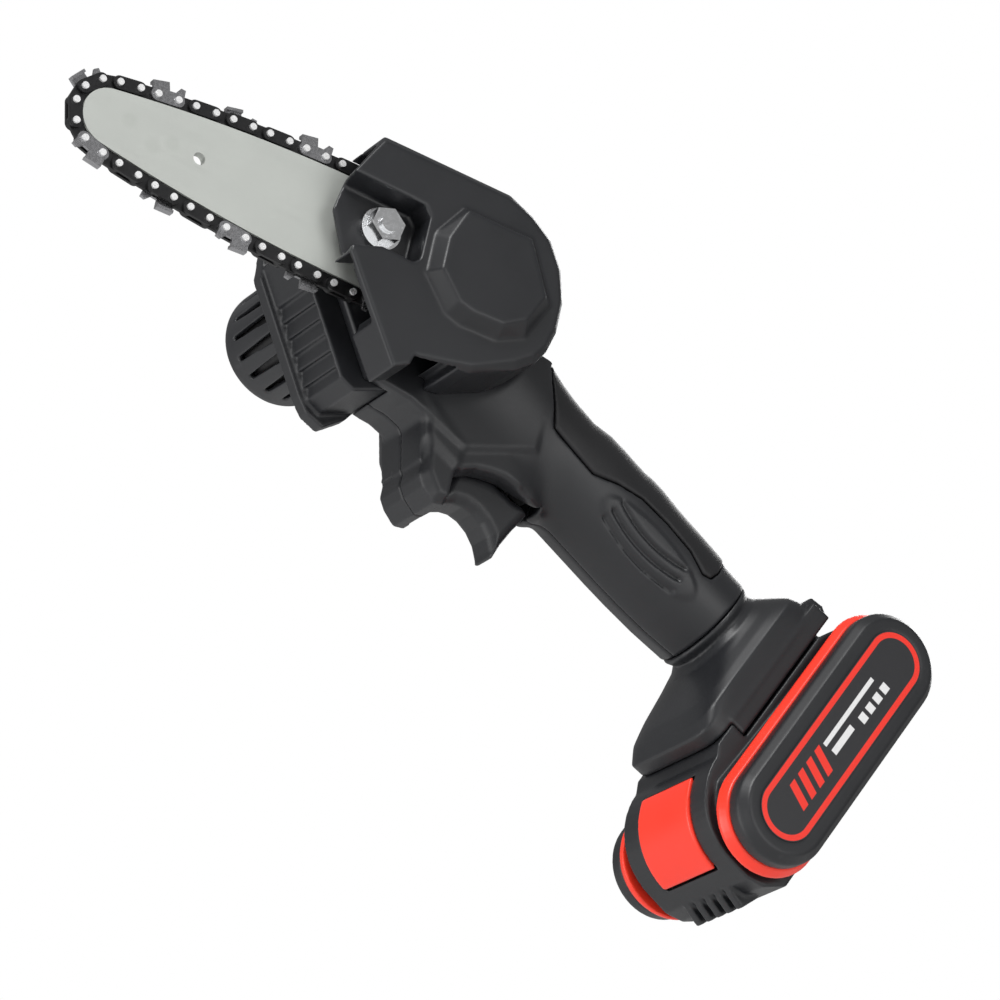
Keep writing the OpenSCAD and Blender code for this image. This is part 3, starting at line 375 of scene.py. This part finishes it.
FINE_GRAIN = 1200
SHELL = plastic("shell_plastic", (0.0088, 0.0094, 0.0112), 0.4)
SHELL_DARK = plastic("switch_plastic", (0.014, 0.014, 0.015), 0.5)
RUBBER = plastic("grip_rubber", (0.0068, 0.0068, 0.0078), 0.52, grain=1100, depth=0.00006,
                 edge_highlight=0.1, specular=0.4)
RED = plastic("red_plastic", (0.86, 0.034, 0.014), 0.34, edge_highlight=0.12)
CHAIN_BLACK = metal("chain_steel", (0.03, 0.03, 0.031), 0.36, FINE_GRAIN, metallic=0.7,
                    depth=0.000006)
CUTTER = metal("cutter_steel", (0.34, 0.34, 0.35), 0.28, FINE_GRAIN, metallic=0.9, depth=0.000006)
RIVET = metal("rivet_steel", (0.9, 0.9, 0.9), 0.3, FINE_GRAIN, tint=0.02, metallic=0.5,
              depth=0.000004)
BRIGHT = metal("bright_steel", (0.86, 0.87, 0.88), 0.2, FINE_GRAIN, tint=0.04, depth=0.000004)
STEEL = metal("plain_steel", (0.5, 0.51, 0.53), 0.36, FINE_GRAIN, depth=0.000006)
BRASS = metal("brass_parts", (0.78, 0.6, 0.28), 0.3, 1500)
LEAD_RED = plastic("lead_red", (0.6, 0.03, 0.02), 0.4, edge_highlight=0.0)
CELL_BLUE = plastic("cell_wrap", (0.06, 0.22, 0.55), 0.3, edge_highlight=0.05)
BOARD_GREEN = plastic("board_green", (0.02, 0.2, 0.07), 0.35, edge_highlight=0.0)


def in_plane(n, origin, axis):
    """Distance of the shaded point from a plane through origin, in millimetres."""
    node = n.add("ShaderNodeVectorMath", operation="SUBTRACT")
    n.link(n.place, node.inputs[0])
    node.inputs[1].default_value = tuple(origin)
    dot = n.add("ShaderNodeVectorMath", operation="DOT_PRODUCT")
    n.link(node.outputs[0], dot.inputs[0])
    dot.inputs[1].default_value = tuple(axis)
    return n.math("MULTIPLY", dot.outputs["Value"], 1000.0)


def step_mask(n, value, edge, soft=0.08):
    """1 where value is below edge."""
    node = n.add("ShaderNodeMapRange")
    n.link(value, node.inputs["Value"])
    node.inputs["From Min"].default_value = edge - soft
    node.inputs["From Max"].default_value = edge + soft
    node.inputs["To Min"].default_value = 1
    node.inputs["To Max"].default_value = 0
    return node.outputs[0]


# Spot welds of the bar, as places along and across it.
WELDS = ((-133, 2), (-118, 0.5), (-124, -3))
WELD_R, WELD_SOFT, WELD_TINT = 2.4, 0.9, 0.3
BAR_LIGHT, BAR_DARK, WELD_COLOUR = (0.49, 0.51, 0.48), (0.455, 0.472, 0.445), (0.36, 0.38, 0.35)
BAR_METALLIC = 0.35


def bar_material():
    """Satin-ground guide bar, with faint spot welds near the nose."""
    n = Nodes("bar_steel")
    lines = n.noise(700, 3.0, (0.06, 1.0, 1.0))
    patches = n.noise(35, 4.0)
    base = n.mix(n.spread(patches, 0, 1), BAR_LIGHT, BAR_DARK)
    weld = None
    x = in_plane(n, ORIGIN, (1, 0, 0))
    z = in_plane(n, ORIGIN, (0, 0, 1))
    for wx, wz in WELDS:
        dx, dz = n.math("SUBTRACT", x, wx), n.math("SUBTRACT", z, wz)
        away = n.math("SQRT", n.math("ADD", n.math("MULTIPLY", dx, dx), n.math("MULTIPLY", dz,
                                                                               dz)))
        inside = step_mask(n, away, WELD_R, WELD_SOFT)
        weld = inside if weld is None else n.math("MAXIMUM", weld, inside)
    base = n.mix(n.math("MULTIPLY", weld, WELD_TINT), base, WELD_COLOUR)
    roughness = n.math("ADD", n.spread(lines, 0.4, 0.52), n.math("MULTIPLY", weld, 0.06))
    rough_lines = n.bump(lines, METAL_BUMP, 0.00002)
    normal = n.bump(weld, 0.25, 0.0001, rough_lines)
    return n.finish(base, roughness, normal, metal=BAR_METALLIC)


BAR = bar_material()

# Battery frame, as in the CAD: n points out of the battery's base and u along its length.
N_AXIS = (math.cos(BATTERY_TILT), 0, -math.sin(BATTERY_TILT))
U_AXIS = (math.sin(BATTERY_TILT), 0, math.cos(BATTERY_TILT))
POD_N, POD_U = 164.9, -33.2
LABEL_R, LABEL_HALF = 9.9, 44.3
RING_OUT, RING_IN = 9.55, 7.7
# Printed bars: middle along n and u, half sizes along n and u, and lean.
RED_BARS = [(0.0, -27.5 + i * 5.2, 4.2, 1.5, 0.35) for i in range(4)]
WHITE_BARS = [(-2.6, 8.0, 0.75, 15.5, 0.0), (1.2, -1.0, 1.1, 6.0, 0.0)]
WHITE_BARS += [(2.4, 10.5 + i * 4.6, 1.5, 1.5, 0.0) for i in range(4)]


def label_material():
    """Printed film: a red ring round a black field with plain bars and squares, no lettering."""
    n = Nodes("label_film")
    pn = n.math("SUBTRACT", in_plane(n, ORIGIN, N_AXIS), POD_N)
    pu = n.math("SUBTRACT", in_plane(n, ORIGIN, U_AXIS), POD_U)
    straight = LABEL_HALF - LABEL_R
    over = n.math("MAXIMUM", n.math("SUBTRACT", n.math("ABSOLUTE", pu), straight), 0.0)
    away = n.math("SQRT", n.math("ADD", n.math("MULTIPLY", pn, pn), n.math("MULTIPLY", over,
                                                                           over)))
    disc = step_mask(n, away, RING_OUT)
    ring = n.math("MULTIPLY", disc, n.math("SUBTRACT", 1.0, step_mask(n, away, RING_IN)))

    def bar(n0, u0, half_n, half_u, lean):
        dn = n.math("SUBTRACT", pn, n0)
        du = n.math("SUBTRACT", pu, u0)
        du = n.math("ADD", du, n.math("MULTIPLY", dn, lean))
        return n.math("MULTIPLY", step_mask(n, n.math("ABSOLUTE", dn), half_n),
                      step_mask(n, n.math("ABSOLUTE", du), half_u))

    red = ring
    for place in RED_BARS:
        red = n.math("MAXIMUM", red, bar(*place))
    white = bar(*WHITE_BARS[0])
    for place in WHITE_BARS[1:]:
        white = n.math("MAXIMUM", white, bar(*place))
    colour = n.mix(red, (0.02, 0.02, 0.022), (0.80, 0.032, 0.018))
    colour = n.mix(white, colour, (0.72, 0.72, 0.72))
    fine = n.noise(1500, 2.0)
    return n.finish(colour, n.spread(fine, 0.28, 0.36), n.bump(fine, 0.15, 0.00002))


LABEL = label_material()

# ---------- carried-over CAD nodes ----------

FINISH = {
    SHELL: "chain_cover motor_housing motor_cap motor_end_bell battery_body battery_pod_left "
           "battery_pod_right housing_left housing_right battery_shoe trigger",
    RUBBER: "grip_rubber cell_holders terminal_block",
    SHELL_DARK: "switch_body switch_plunger",
    RED: "battery_band_left battery_band_right latch_button",
    LABEL: "battery_label_left battery_label_right",
    BAR: "guide_bar",
    # Painted shade: the motor can takes the near-black chain steel so that it reads as shadow
    # through the cap's slots.
    CHAIN_BLACK: "chain_drive_links chain_tie_straps sprocket_circlip motor_magnets motor_can "
                 "trigger_spring",
    CUTTER: "chain_cutters_left chain_cutters_right",
    RIVET: "chain_rivets",
    BRIGHT: "bar_nut bar_stud latch_spring motor_screws",
    STEEL: "drive_sprocket sprocket_washer output_shaft output_gear output_bearing_front "
           "output_bearing_rear intermediate_gear intermediate_pin motor_shaft rotor_core "
           "gear_plate bar_plate housing_screws",
    BRASS: "motor_pinion commutator contact_blades battery_contacts",
    LEAD_RED: "power_leads",
    CELL_BLUE: "battery_cells",
    BOARD_GREEN: "battery_board",
}
for material, names in FINISH.items():
    for name in names.split():
        mesh = NODES[name].data
        if not mesh.materials:
            mesh.materials.append(material)
        for i in range(len(mesh.materials)):
            NODES[name].material_slots[i].material = material


SMOOTH_FACTOR = 0.5
BEVEL_ANGLE = math.radians(35)


def soften(name, voxel, rounds):
    """Rounds a moulded node's edges: an even remesh, then smoothing."""
    obj = NODES[name]
    remesh = obj.modifiers.new("even", "REMESH")
    remesh.mode, remesh.voxel_size, remesh.use_smooth_shade = "VOXEL", voxel * MM, True
    smooth = obj.modifiers.new("soft", "SMOOTH")
    smooth.factor, smooth.iterations = SMOOTH_FACTOR, rounds


def bevel(name, width):
    """A small bevel on a hard-edged node."""
    obj = NODES[name]
    edge = obj.modifiers.new("edge", "BEVEL")
    edge.width, edge.segments = width * MM, 2
    edge.limit_method, edge.angle_limit = "ANGLE", BEVEL_ANGLE
    edge.use_clamp_overlap, edge.harden_normals = True, False


soften("chain_cover", 0.5, 5)
soften("motor_housing", 0.45, 3)
soften("motor_cap", 0.45, 3)
soften("battery_body", 0.5, 4)
for side in ("left", "right"):
    soften("battery_pod_" + side, 0.5, 6)
    soften("battery_band_" + side, 0.45, 4)
soften("latch_button", 0.45, 16)
for name, width in (("guide_bar", 0.25), ("chain_drive_links", 0.12), ("chain_tie_straps", 0.15),
                    ("chain_cutters_left", 0.12), ("chain_cutters_right", 0.12),
                    ("chain_rivets", 0.25), ("bar_nut", 0.35), ("bar_stud", 0.3),
                    ("drive_sprocket", 0.25), ("housing_screws", 0.3)):
    bevel(name, width)

# ---------- housing, grip and trigger ----------

HANDLE_A, HANDLE_B, HANDLE_W = 17.0, 17.4, -10.9
SEAM_S = 119.0
# How far the handle's underside swells past HANDLE_B, and the rubber's back edge rises past it.
SWELL = ((22, 60, 84, 93, 99, 105, 111, 117, 119), (2.9, 2.9, 2.85, 2.6, 2.2, 1.8, 1.0, 0.1, 0.0))
BACK = ((22, 27, 33, 39, 45, 49, 53, 56, 62, 68, 72, 75, 80, 86, 92, 99, 105, 111, 115, 119),
        (1.0, 0.9, 0.1, -0.3, -0.6, -0.8, 0.3, 1.1, 1.35, 1.2, 1.3, 1.9, 2.0, 1.4, 1.1, 1.1, 0.9,
         0.6, 0.0, -0.1))
HEAD = ((-56, 26), (-10, 26.5), (6.5, 19.5), (17, 5), (18.5, -8), (24, -9), (24, -40), (0, -50),
        (-21, -42), (-29, -41), (-36.4, -40.4), (-57.2, -8.6), (-60, 0), (-59, 14))
LOWER_SIDE = ((-24, -30), (-20, -35), (-15, -40.5), (-12.5, -50), (-1, -56), (1.5, -56.0),
              (6, -53.8), (11, -52.8), (16, -52.4), (22, -53.4), (31, -46), (33, -26), (22, -12))
LOWER_MID = ((-24, -30), (-19.5, -34.5), (-15.4, -39.5), (-12, -57), (0, -58.5), (1.5, -57),
             (6, -54.6), (11, -53.6), (16, -53.2), (24, -54.4), (35, -55.0), (38, -52), (40, -30),
             (24, -10))
GUARD_SIDE = ((-13, -41), (-9.2, -61), (-4.8, -67), (-1.4, -67), (-1, -50))
GUARD_MID = ((-14.6, -41), (-11.2, -56), (-11.4, -62.5), (-9.2, -66), (-4.8, -69.6), (-1.4, -69),
             (-1, -50))
GRIP = ((26, 30), (26, 1), (39, -15), (58, -15.6), (66, -11.4), (75, -8.2), (86, -7.4), (97, -8),
        (105, -10.8), (108, -9.6), (109, -5), (109, 30))
GRIP_DEPTH = 2.0
# The raised oval on each side of the handle, and its three curved grooves, each given by the
# places where it starts, turns and ends.
PAD_S, PAD_W, PAD_HALF_S, PAD_HALF_W = 86.5, -18.3, 22.5, 7.0
PAD_RISE, GROOVE_DEPTH, GROOVE_HALF = 0.5, 1.15, 0.62
GROOVES = (((69.9, -21.8), (86.3, -23.7), (101.3, -21.9)),
           ((70.4, -18.7), (86.5, -20.6), (100.2, -18.2)),
           ((70.9, -14.8), (85.5, -17.0), (99.4, -14.4)))
TRIGGER_OPENING = ((-1.2, -90), (-1.2, -68), (-0.4, -60), (1.4, -50), (3.4, -42), (8, -38),
                   (34, -47), (33.2, -54), (31.4, -62), (28, -90))
TRIGGER = ((-0.5, -67.5), (2.5, -64.3), (5.7, -62.9), (9, -62.5), (12.5, -63.4), (16, -65.6),
           (19, -69), (20.9, -73), (21.4, -74.8), (22.2, -74.8), (24.1, -69.4), (27.2, -63),
           (28.6, -60.7), (30.8, -56.5), (28.5, -54.5), (24.4, -53.74), (6.6, -44.77), (4.4, -46),
           (2.6, -52), (0.6, -60))
SCREWS = ((12, -19, 6, 28), (-20, 21, 6, 28), (31, -21, 11, 29), (-9, -56, 8, 32),
          (61, -36.4, 9, 31), (83, -47.4, 9, 31))
MOTOR_X, MOTOR_Z, MOTOR_R = -40.8, -9.9, 16.5
MOTOR_TURN = math.atan2(-0.837, 0.547)
IDLER = (-31.97, 6.22)
STUD_X = -48.8


# Hollows of the housing: behind the head, in the trigger block and behind the trigger.
WIDE_SPACE = ((-53, 23.5), (-10, 24), (5, 17.5), (14.5, 4), (16, -10), (22, -14), (22, -38),
              (0, -47), (-21, -39.5), (-34, -38), (-54, -9), (-57, 0), (-56, 14))
LOW_SPACE = ((-14.5, -30), (-11.5, -42), (-8.8, -56), (-6.5, -61), (-4, -62.8), (-4, -58),
             (2, -53.6), (6, -51.5), (20, -50.5), (23, -30), (18, -16), (10, -16))
REAR_SPACE = ((18, -50.5), (30, -49), (36, -45), (38, -40), (30, -16), (18, -16))
# Clearance for the motor housing's scoop and flange, down its louvred face and out of it.
SCOOP_SPACE = ((-21.5, -3.2), (31.3, -3.2), (33.4, 4), (31.4, 17.7), (26.3, 20.8), (-21.5, 20.8))
FLANGE_SPACE = ((-23.6, 0), (-23.6, 17.4), (-14.7, 22.2), (24.2, 22.2), (30.3, 21.5), (35.7, 17.7),
                (34.6, 8.3), (29.3, -3), (14.1, -17.2), (0, -20.7), (-14.1, -17.2))
BEARING_R, BOSS_R, SCREW_R, SCREW_HEAD_R = 8.04, 3.4, 1.5, 2.9
# Sampling steps of the large shells and of the trigger.
SHELL_STEP, TRIGGER_STEP = 0.55, 0.4
# Half of the gap between the housing halves, and of those round the grip and the shoe.
SEAM_GAP, GRIP_GAP, SHOE_GAP = 0.03, 0.05, 0.1
LATCH_TILT = BATTERY_TILT + math.radians(37.5)


def keep(a, b, k=0.0):
    """Where both shapes are, with the new edge rounded by about k."""
    return -join(-a, -b, k)


def tube(g, s, w, grow, back=0.0):
    """The handle: an oval whose underside swells and whose back edge can rise."""
    rise = np.interp(s, *BACK).astype(np.float32) * back
    swell = np.interp(s, *SWELL).astype(np.float32)
    off = w - HANDLE_W
    b = np.where(off > 0, HANDLE_B + rise, HANDLE_B + swell) + grow
    a = HANDLE_A + grow
    return (np.hypot((g.y - MID_Y) / a, off / b) - 1) * np.minimum(a, b)


def tapered(g, side, mid, half_side, half_mid, rounding):
    """A slab whose outline changes from mid to side over its outer edges."""
    away = np.abs(g.y - MID_Y)
    t = np.clip((away - half_mid) / (half_side - half_mid), 0, 1)
    flat = polygon(g.x, g.z, mid) * (1 - t) + polygon(g.x, g.z, side) * t
    return extrude(flat, g.y - MID_Y, half_side, rounding)


def bowed(ps, pw, points):
    """Distance to a gently bowed line through three points, taken across it."""
    line = np.polyfit([p[0] for p in points], [p[1] for p in points], 2)
    past = np.maximum(points[0][0] - ps, ps - points[-1][0])
    return np.hypot(pw - np.polyval(line, ps), np.maximum(past, 0))


def motor_frame(g):
    """Flat coordinates of the motor housing: down its louvred face, and out of it."""
    c, s = math.cos(MOTOR_TURN), math.sin(MOTOR_TURN)
    dx, dz = g.x - MOTOR_X, g.z - MOTOR_Z
    return dx * c + dz * s, dx * s - dz * c


def envelope(g, s, w, back):
    """Outside of both housing halves, with the handle flowing into the trigger block."""
    head = slab(polygon(g.x, g.z, HEAD), g.y, 4, 30, 1.0)
    block = tapered(g, LOWER_SIDE, LOWER_MID, 15.6, 11.5, 1.2)
    nose = (np.hypot(np.maximum(g.x - 14, 0) / 21.5, (g.y - MID_Y) / 15.8) - 1) * 15.8
    block = keep(block, nose, 2.0)
    guard = tapered(g, GUARD_SIDE, GUARD_MID, 15.0, 12.0, 0.8)
    handle = keep(tube(g, s, w, 0.0, back), 20 - s, 2.0)
    return join(join(join(block, guard, 2.5), handle, 7.0), head, 2.0)


def handle_marks(s, w):
    """Height of the raised pad less its three grooves, over the handle's side."""
    inside = (1 - np.hypot((s - PAD_S) / PAD_HALF_S, (w - PAD_W) / PAD_HALF_W)) * PAD_HALF_W
    edge = np.clip(inside / 1.2, 0, 1)
    height = PAD_RISE * edge ** 2 * (3 - 2 * edge)
    for line in GROOVES:
        height = height - GROOVE_DEPTH * np.exp(-(bowed(s, w, line) / GROOVE_HALF) ** 2)
    return height.astype(np.float32)


def housing_space(g, s, w):
    """Hollow inside the housing, and its openings."""
    wide = polygon(g.x, g.z, WIDE_SPACE)
    low = polygon(g.x, g.z, LOW_SPACE)
    rear = polygon(g.x, g.z, REAR_SPACE)
    space = join(slab(wide, g.y, 6.5, 27.5), slab(low, g.y, 8.5, 31.5))
    space = join(space, slab(rear, g.y, 11.5, 28.5))
    space = join(space, np.maximum(tube(g, s, w, -4.5), 26 - s))
    down, out = motor_frame(g)
    scoop = polygon(down, out, SCOOP_SPACE)
    flange = polygon(down, out, FLANGE_SPACE)
    space = join(space, slab(scoop, g.y, 7.9, 31))
    space = join(space, slab(flange, g.y, 30, 40))
    for x, z, r, y0, y1 in ((MOTOR_X, MOTOR_Z, MOTOR_R + 0.4, 20.5, 40), (DRIVE_X, 0, 6.2, 0, 20),
                            (DRIVE_X, 0, BEARING_R, 4.1, 12), (STUD_X, 0, 3.1, 0, 10)):
        space = join(space, rod(g, x, z, r, y0, y1))
    return space


def housing():
    """Both housing halves and the rubber grip over the back of the handle."""
    g = Grid((-62, 1.5, -81.5), (112, 38.5, 28.5), SHELL_STEP)
    s, w = g.tilted(HANDLE_TILT)
    outer = envelope(g, s, w, 0.0) - handle_marks(s, w)
    outer = keep(outer, s - (SEAM_S - SHOE_GAP), 1.2)
    region = polygon(s, w, GRIP)
    core = cut(outer, keep(region - GRIP_GAP, -(outer + GRIP_DEPTH + GRIP_GAP)), 0.5)
    opening = slab(polygon(g.x, g.z, TRIGGER_OPENING), g.y, 12.4, 27.6)
    core = cut(cut(core, opening, 1.2), housing_space(g, s, w))
    bosses = cut(rod(g, DRIVE_X, 0, 10.5, 5, 9.2), rod(g, DRIVE_X, 0, BEARING_R, 4, 12))
    bosses = join(bosses, cut(rod(g, *IDLER, 5, 6, 9), rod(g, *IDLER, 2.55, 6.7, 10)))
    bores = None
    for x, z, y0, y1 in SCREWS:
        bosses = join(bosses, rod(g, x, z, BOSS_R, y0, y1))
        bore = join(rod(g, x, z, SCREW_R, 9, 45), rod(g, x, z, SCREW_HEAD_R, 25.6, 45))
        bores = bore if bores is None else join(bores, bore)
    core = cut(join(core, bosses), bores)
    left = keep(core, g.y - (MID_Y - SEAM_GAP), 0.6)
    right = keep(core, (MID_Y + SEAM_GAP) - g.y, 0.6)
    field_piece("housing_left_shell", g, left, SHELL, "saw", ["housing_left"])
    field_piece("housing_right_shell", g, right, SHELL, "saw", ["housing_right"])
    rubber = envelope(g, s, w, 1.0) - 0.3
    rubber = keep(rubber, -(outer + GRIP_DEPTH), 0.3)
    rubber = keep(rubber, region + 0.28, 0.9)
    rubber = np.maximum(rubber, -(slab(polygon(g.x, g.z, HEAD), g.y, 3, 30.05)))
    field_piece("grip_overmould", g, rubber, RUBBER, "saw", ["grip_rubber"])


def trigger():
    """The trigger, rounded over its edges."""
    g = Grid((-3, 11.5, -77), (33.5, 28.5, -42), TRIGGER_STEP)
    field = slab(polygon(g.x, g.z, TRIGGER), g.y, 13, 27, 3.6)
    field_piece("trigger_finger", g, field, SHELL, "trigger", ["trigger"])


# ---------- springs ----------

def spring(node, body, tilt):
    """The node's coil as its own piece, riding on the given body in place of the node."""
    piece = bpy.data.objects.new(node + "_coil", NODES[node].data.copy())
    bpy.context.scene.collection.objects.link(piece)
    along = Vector((math.sin(tilt), 0, math.cos(tilt)))
    points = sorted((v.co for v in piece.data.vertices), key=along.dot)
    fixed = points[-1].copy()
    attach(piece, body)
    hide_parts(node)
    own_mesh(piece)


# ---------- battery shoe ----------

# Sections of the flared foot along the battery's n axis: half width, front end, rear end and
# how square the outline is (2 is an oval).
SHOE_N = (112, 119.5, 122.2, 124.5, 126.5, 128.5, 130.8, 134, 139.1)
SHOE_HALF = (17.0, 16.7, 15.5, 16.3, 18.2, 20.8, 23.0, 23.0, 23.0)
SHOE_FRONT = (-31.5, -31.3, -30.0, -33.0, -41.0, -50.0, -55.0, -59.0, -58.6)
SHOE_REAR = (3.3, 3.0, 1.8, 2.1, 3.0, 3.9, 4.6, 5.4, 6.0)
SHOE_SQUARE = (2, 2, 2, 2.4, 3.2, 4.2, 6, 8, 8)


def shoe():
    """The foot of the handle, which flares out to the battery's rails."""
    g = Grid((74, -4.5, -126), (136, 44.5, -48), SHELL_STEP)
    s, w = g.tilted(HANDLE_TILT)
    n, u = g.tilted(BATTERY_TILT)
    half, front, rear, square = (np.interp(n, SHOE_N, v).astype(np.float32)
                                 for v in (SHOE_HALF, SHOE_FRONT, SHOE_REAR, SHOE_SQUARE))
    length = (rear - front) / 2
    du = np.abs(u - (rear + front) / 2) / length
    dy = np.abs(g.y - MID_Y) / half
    flare = ((du ** square + dy ** square) ** (1 / square) - 1) * np.minimum(length, half)
    flare = keep(keep(flare, n - SHOE_N[-1], 0.8), SEAM_S + SHOE_GAP - s, 1.2)
    lips = slab(polygon(n, u, ((137, -49), (144.2, -49), (144.2, 6.6),
                               (137, 6))), g.y, -3, 43, 0.8)
    ridge = polygon(n, u, ((134, 2), (143.6, 3), (143.6, 8.5), (141, 10), (136.5, 9.2)))
    ridge = slab(ridge, g.y, 0, 9, 1.0)
    body = join(join(flare, lips, 0.6), ridge, 0.6)
    for half_y, outline in (
            (17.2, ((139.2, -100), (146, -100), (146, 3), (139.2, 3))),
            (19.4, ((139.2, -100), (142.3, -100), (142.3, 3), (139.2, 3))),
            (9.0, ((131, -36), (139.3, -36), (139.3, -10), (131, -10)))):
        body = cut(body, slab(polygon(n, u, outline), g.y, MID_Y - half_y, MID_Y + half_y), 0.3)
    wires = slab(polygon(s, w, ((118, -24), (132, -24), (132, -12), (118, -12))), g.y, 14, 26)
    body = cut(body, wires)
    field_piece("battery_shoe_shell", g, body, SHELL, "saw", ["battery_shoe"])


housing()
trigger()
shoe()
spring("trigger_spring", "saw", HANDLE_TILT)
spring("latch_spring", "battery", LATCH_TILT)

# ---------- stage, light and camera ----------


def one_way(name):
    """Pale floor that only its upper side shows, so that the view from below passes through."""
    n = Nodes(name)
    n.finish((0.86, 0.86, 0.86), n.spread(n.noise(8, 2.0), 0.6, 0.7))
    clear = n.add("ShaderNodeBsdfTransparent")
    back = n.add("ShaderNodeNewGeometry").outputs["Backfacing"]
    shadow = n.add("ShaderNodeLightPath").outputs["Is Shadow Ray"]
    mixer = n.add("ShaderNodeMixShader")
    n.link(n.math("MAXIMUM", back, shadow), mixer.inputs[0])
    n.link(n.shader.outputs[0], mixer.inputs[1])
    n.link(clear.outputs[0], mixer.inputs[2])
    n.link(mixer.outputs[0], n.tree.nodes["Material Output"].inputs["Surface"])
    return n.material


# The floor lies this far below the saw, so that the battery slid off its shoe stays above it.
FLOOR_GAP, FLOOR_HALF = 0.09, 3.0


def floor():
    size, z = FLOOR_HALF, CAD_BOX[0].z - FLOOR_GAP
    corners = [(-size, -size, z), (size, -size, z), (size, size, z), (-size, size, z)]
    mesh = bpy.data.meshes.new("floor")
    mesh.from_pydata(corners, [], [(0, 1, 2, 3)])
    mesh.materials.append(one_way("floor"))
    obj = bpy.data.objects.new("floor", mesh)
    bpy.context.scene.collection.objects.link(obj)


# Name, place in metres, size across and power in watts.
LIGHTS = (("key", (-0.9, -0.9, 1.1), 0.8, 22), ("fill", (-1.2, 0.1, -0.5), 0.9, 10),
          ("front", (0.4, -1.6, 0.1), 1.2, 7), ("rim", (0.9, 0.9, 0.9), 0.8, 9))


def area_light(name, place, size, power):
    """A soft white light aimed at the saw."""
    data = bpy.data.lights.new(name, "AREA")
    data.shape, data.size, data.energy = "DISK", size, power
    obj = bpy.data.objects.new(name, data)
    obj.location = place
    obj.rotation_mode = "QUATERNION"
    obj.rotation_quaternion = Vector(place).to_track_quat("Z", "Y")
    bpy.context.scene.collection.objects.link(obj)


# Brightness of the white surroundings, as they light the saw and as the camera sees them.
AMBIENT, BACKDROP = 0.3, 1.0


def world():
    made = bpy.data.worlds.new("studio")
    bpy.context.scene.world = made
    made.use_nodes = True
    tree = made.node_tree
    back = tree.nodes["Background"]
    path = tree.nodes.new("ShaderNodeLightPath")
    tone = tree.nodes.new("ShaderNodeMapRange")
    tree.links.new(path.outputs["Is Camera Ray"], tone.inputs["Value"])
    tone.inputs["To Min"].default_value = AMBIENT
    tone.inputs["To Max"].default_value = BACKDROP
    back.inputs["Color"].default_value = (1, 1, 1, 1)
    tree.links.new(tone.outputs[0], back.inputs["Strength"])


# The camera's place from ORIGIN in metres, and the directions behind and above it.
CAMERA_PLACE = Vector((-0.55398, -1.13314, -0.70233))
CAMERA_BACK = Vector((-0.3997, -0.7986, -0.4500))
CAMERA_UP = Vector((-0.3744, -0.3060, 0.8754))
CAMERA_LENS = 168.7


def camera():
    """The photograph's viewpoint: from the cover side, turned towards the bar's tip and below."""
    back = CAMERA_BACK.normalized()
    up = CAMERA_UP.normalized()
    right = up.cross(back).normalized()
    up = back.cross(right)
    data = bpy.data.cameras.new("camera")
    data.lens, data.sensor_width = CAMERA_LENS, 36
    data.clip_start, data.clip_end = 0.05, 50
    obj = bpy.data.objects.new("camera", data)
    turn = Matrix((right, up, back)).transposed().to_4x4()
    obj.matrix_world = Matrix.Translation(CAMERA_PLACE + ORIGIN) @ turn
    bpy.context.scene.collection.objects.link(obj)
    bpy.context.scene.camera = obj


floor()
world()
for light in LIGHTS:
    area_light(*light)
camera()
bpy.context.scene.view_settings.view_transform = "Standard"
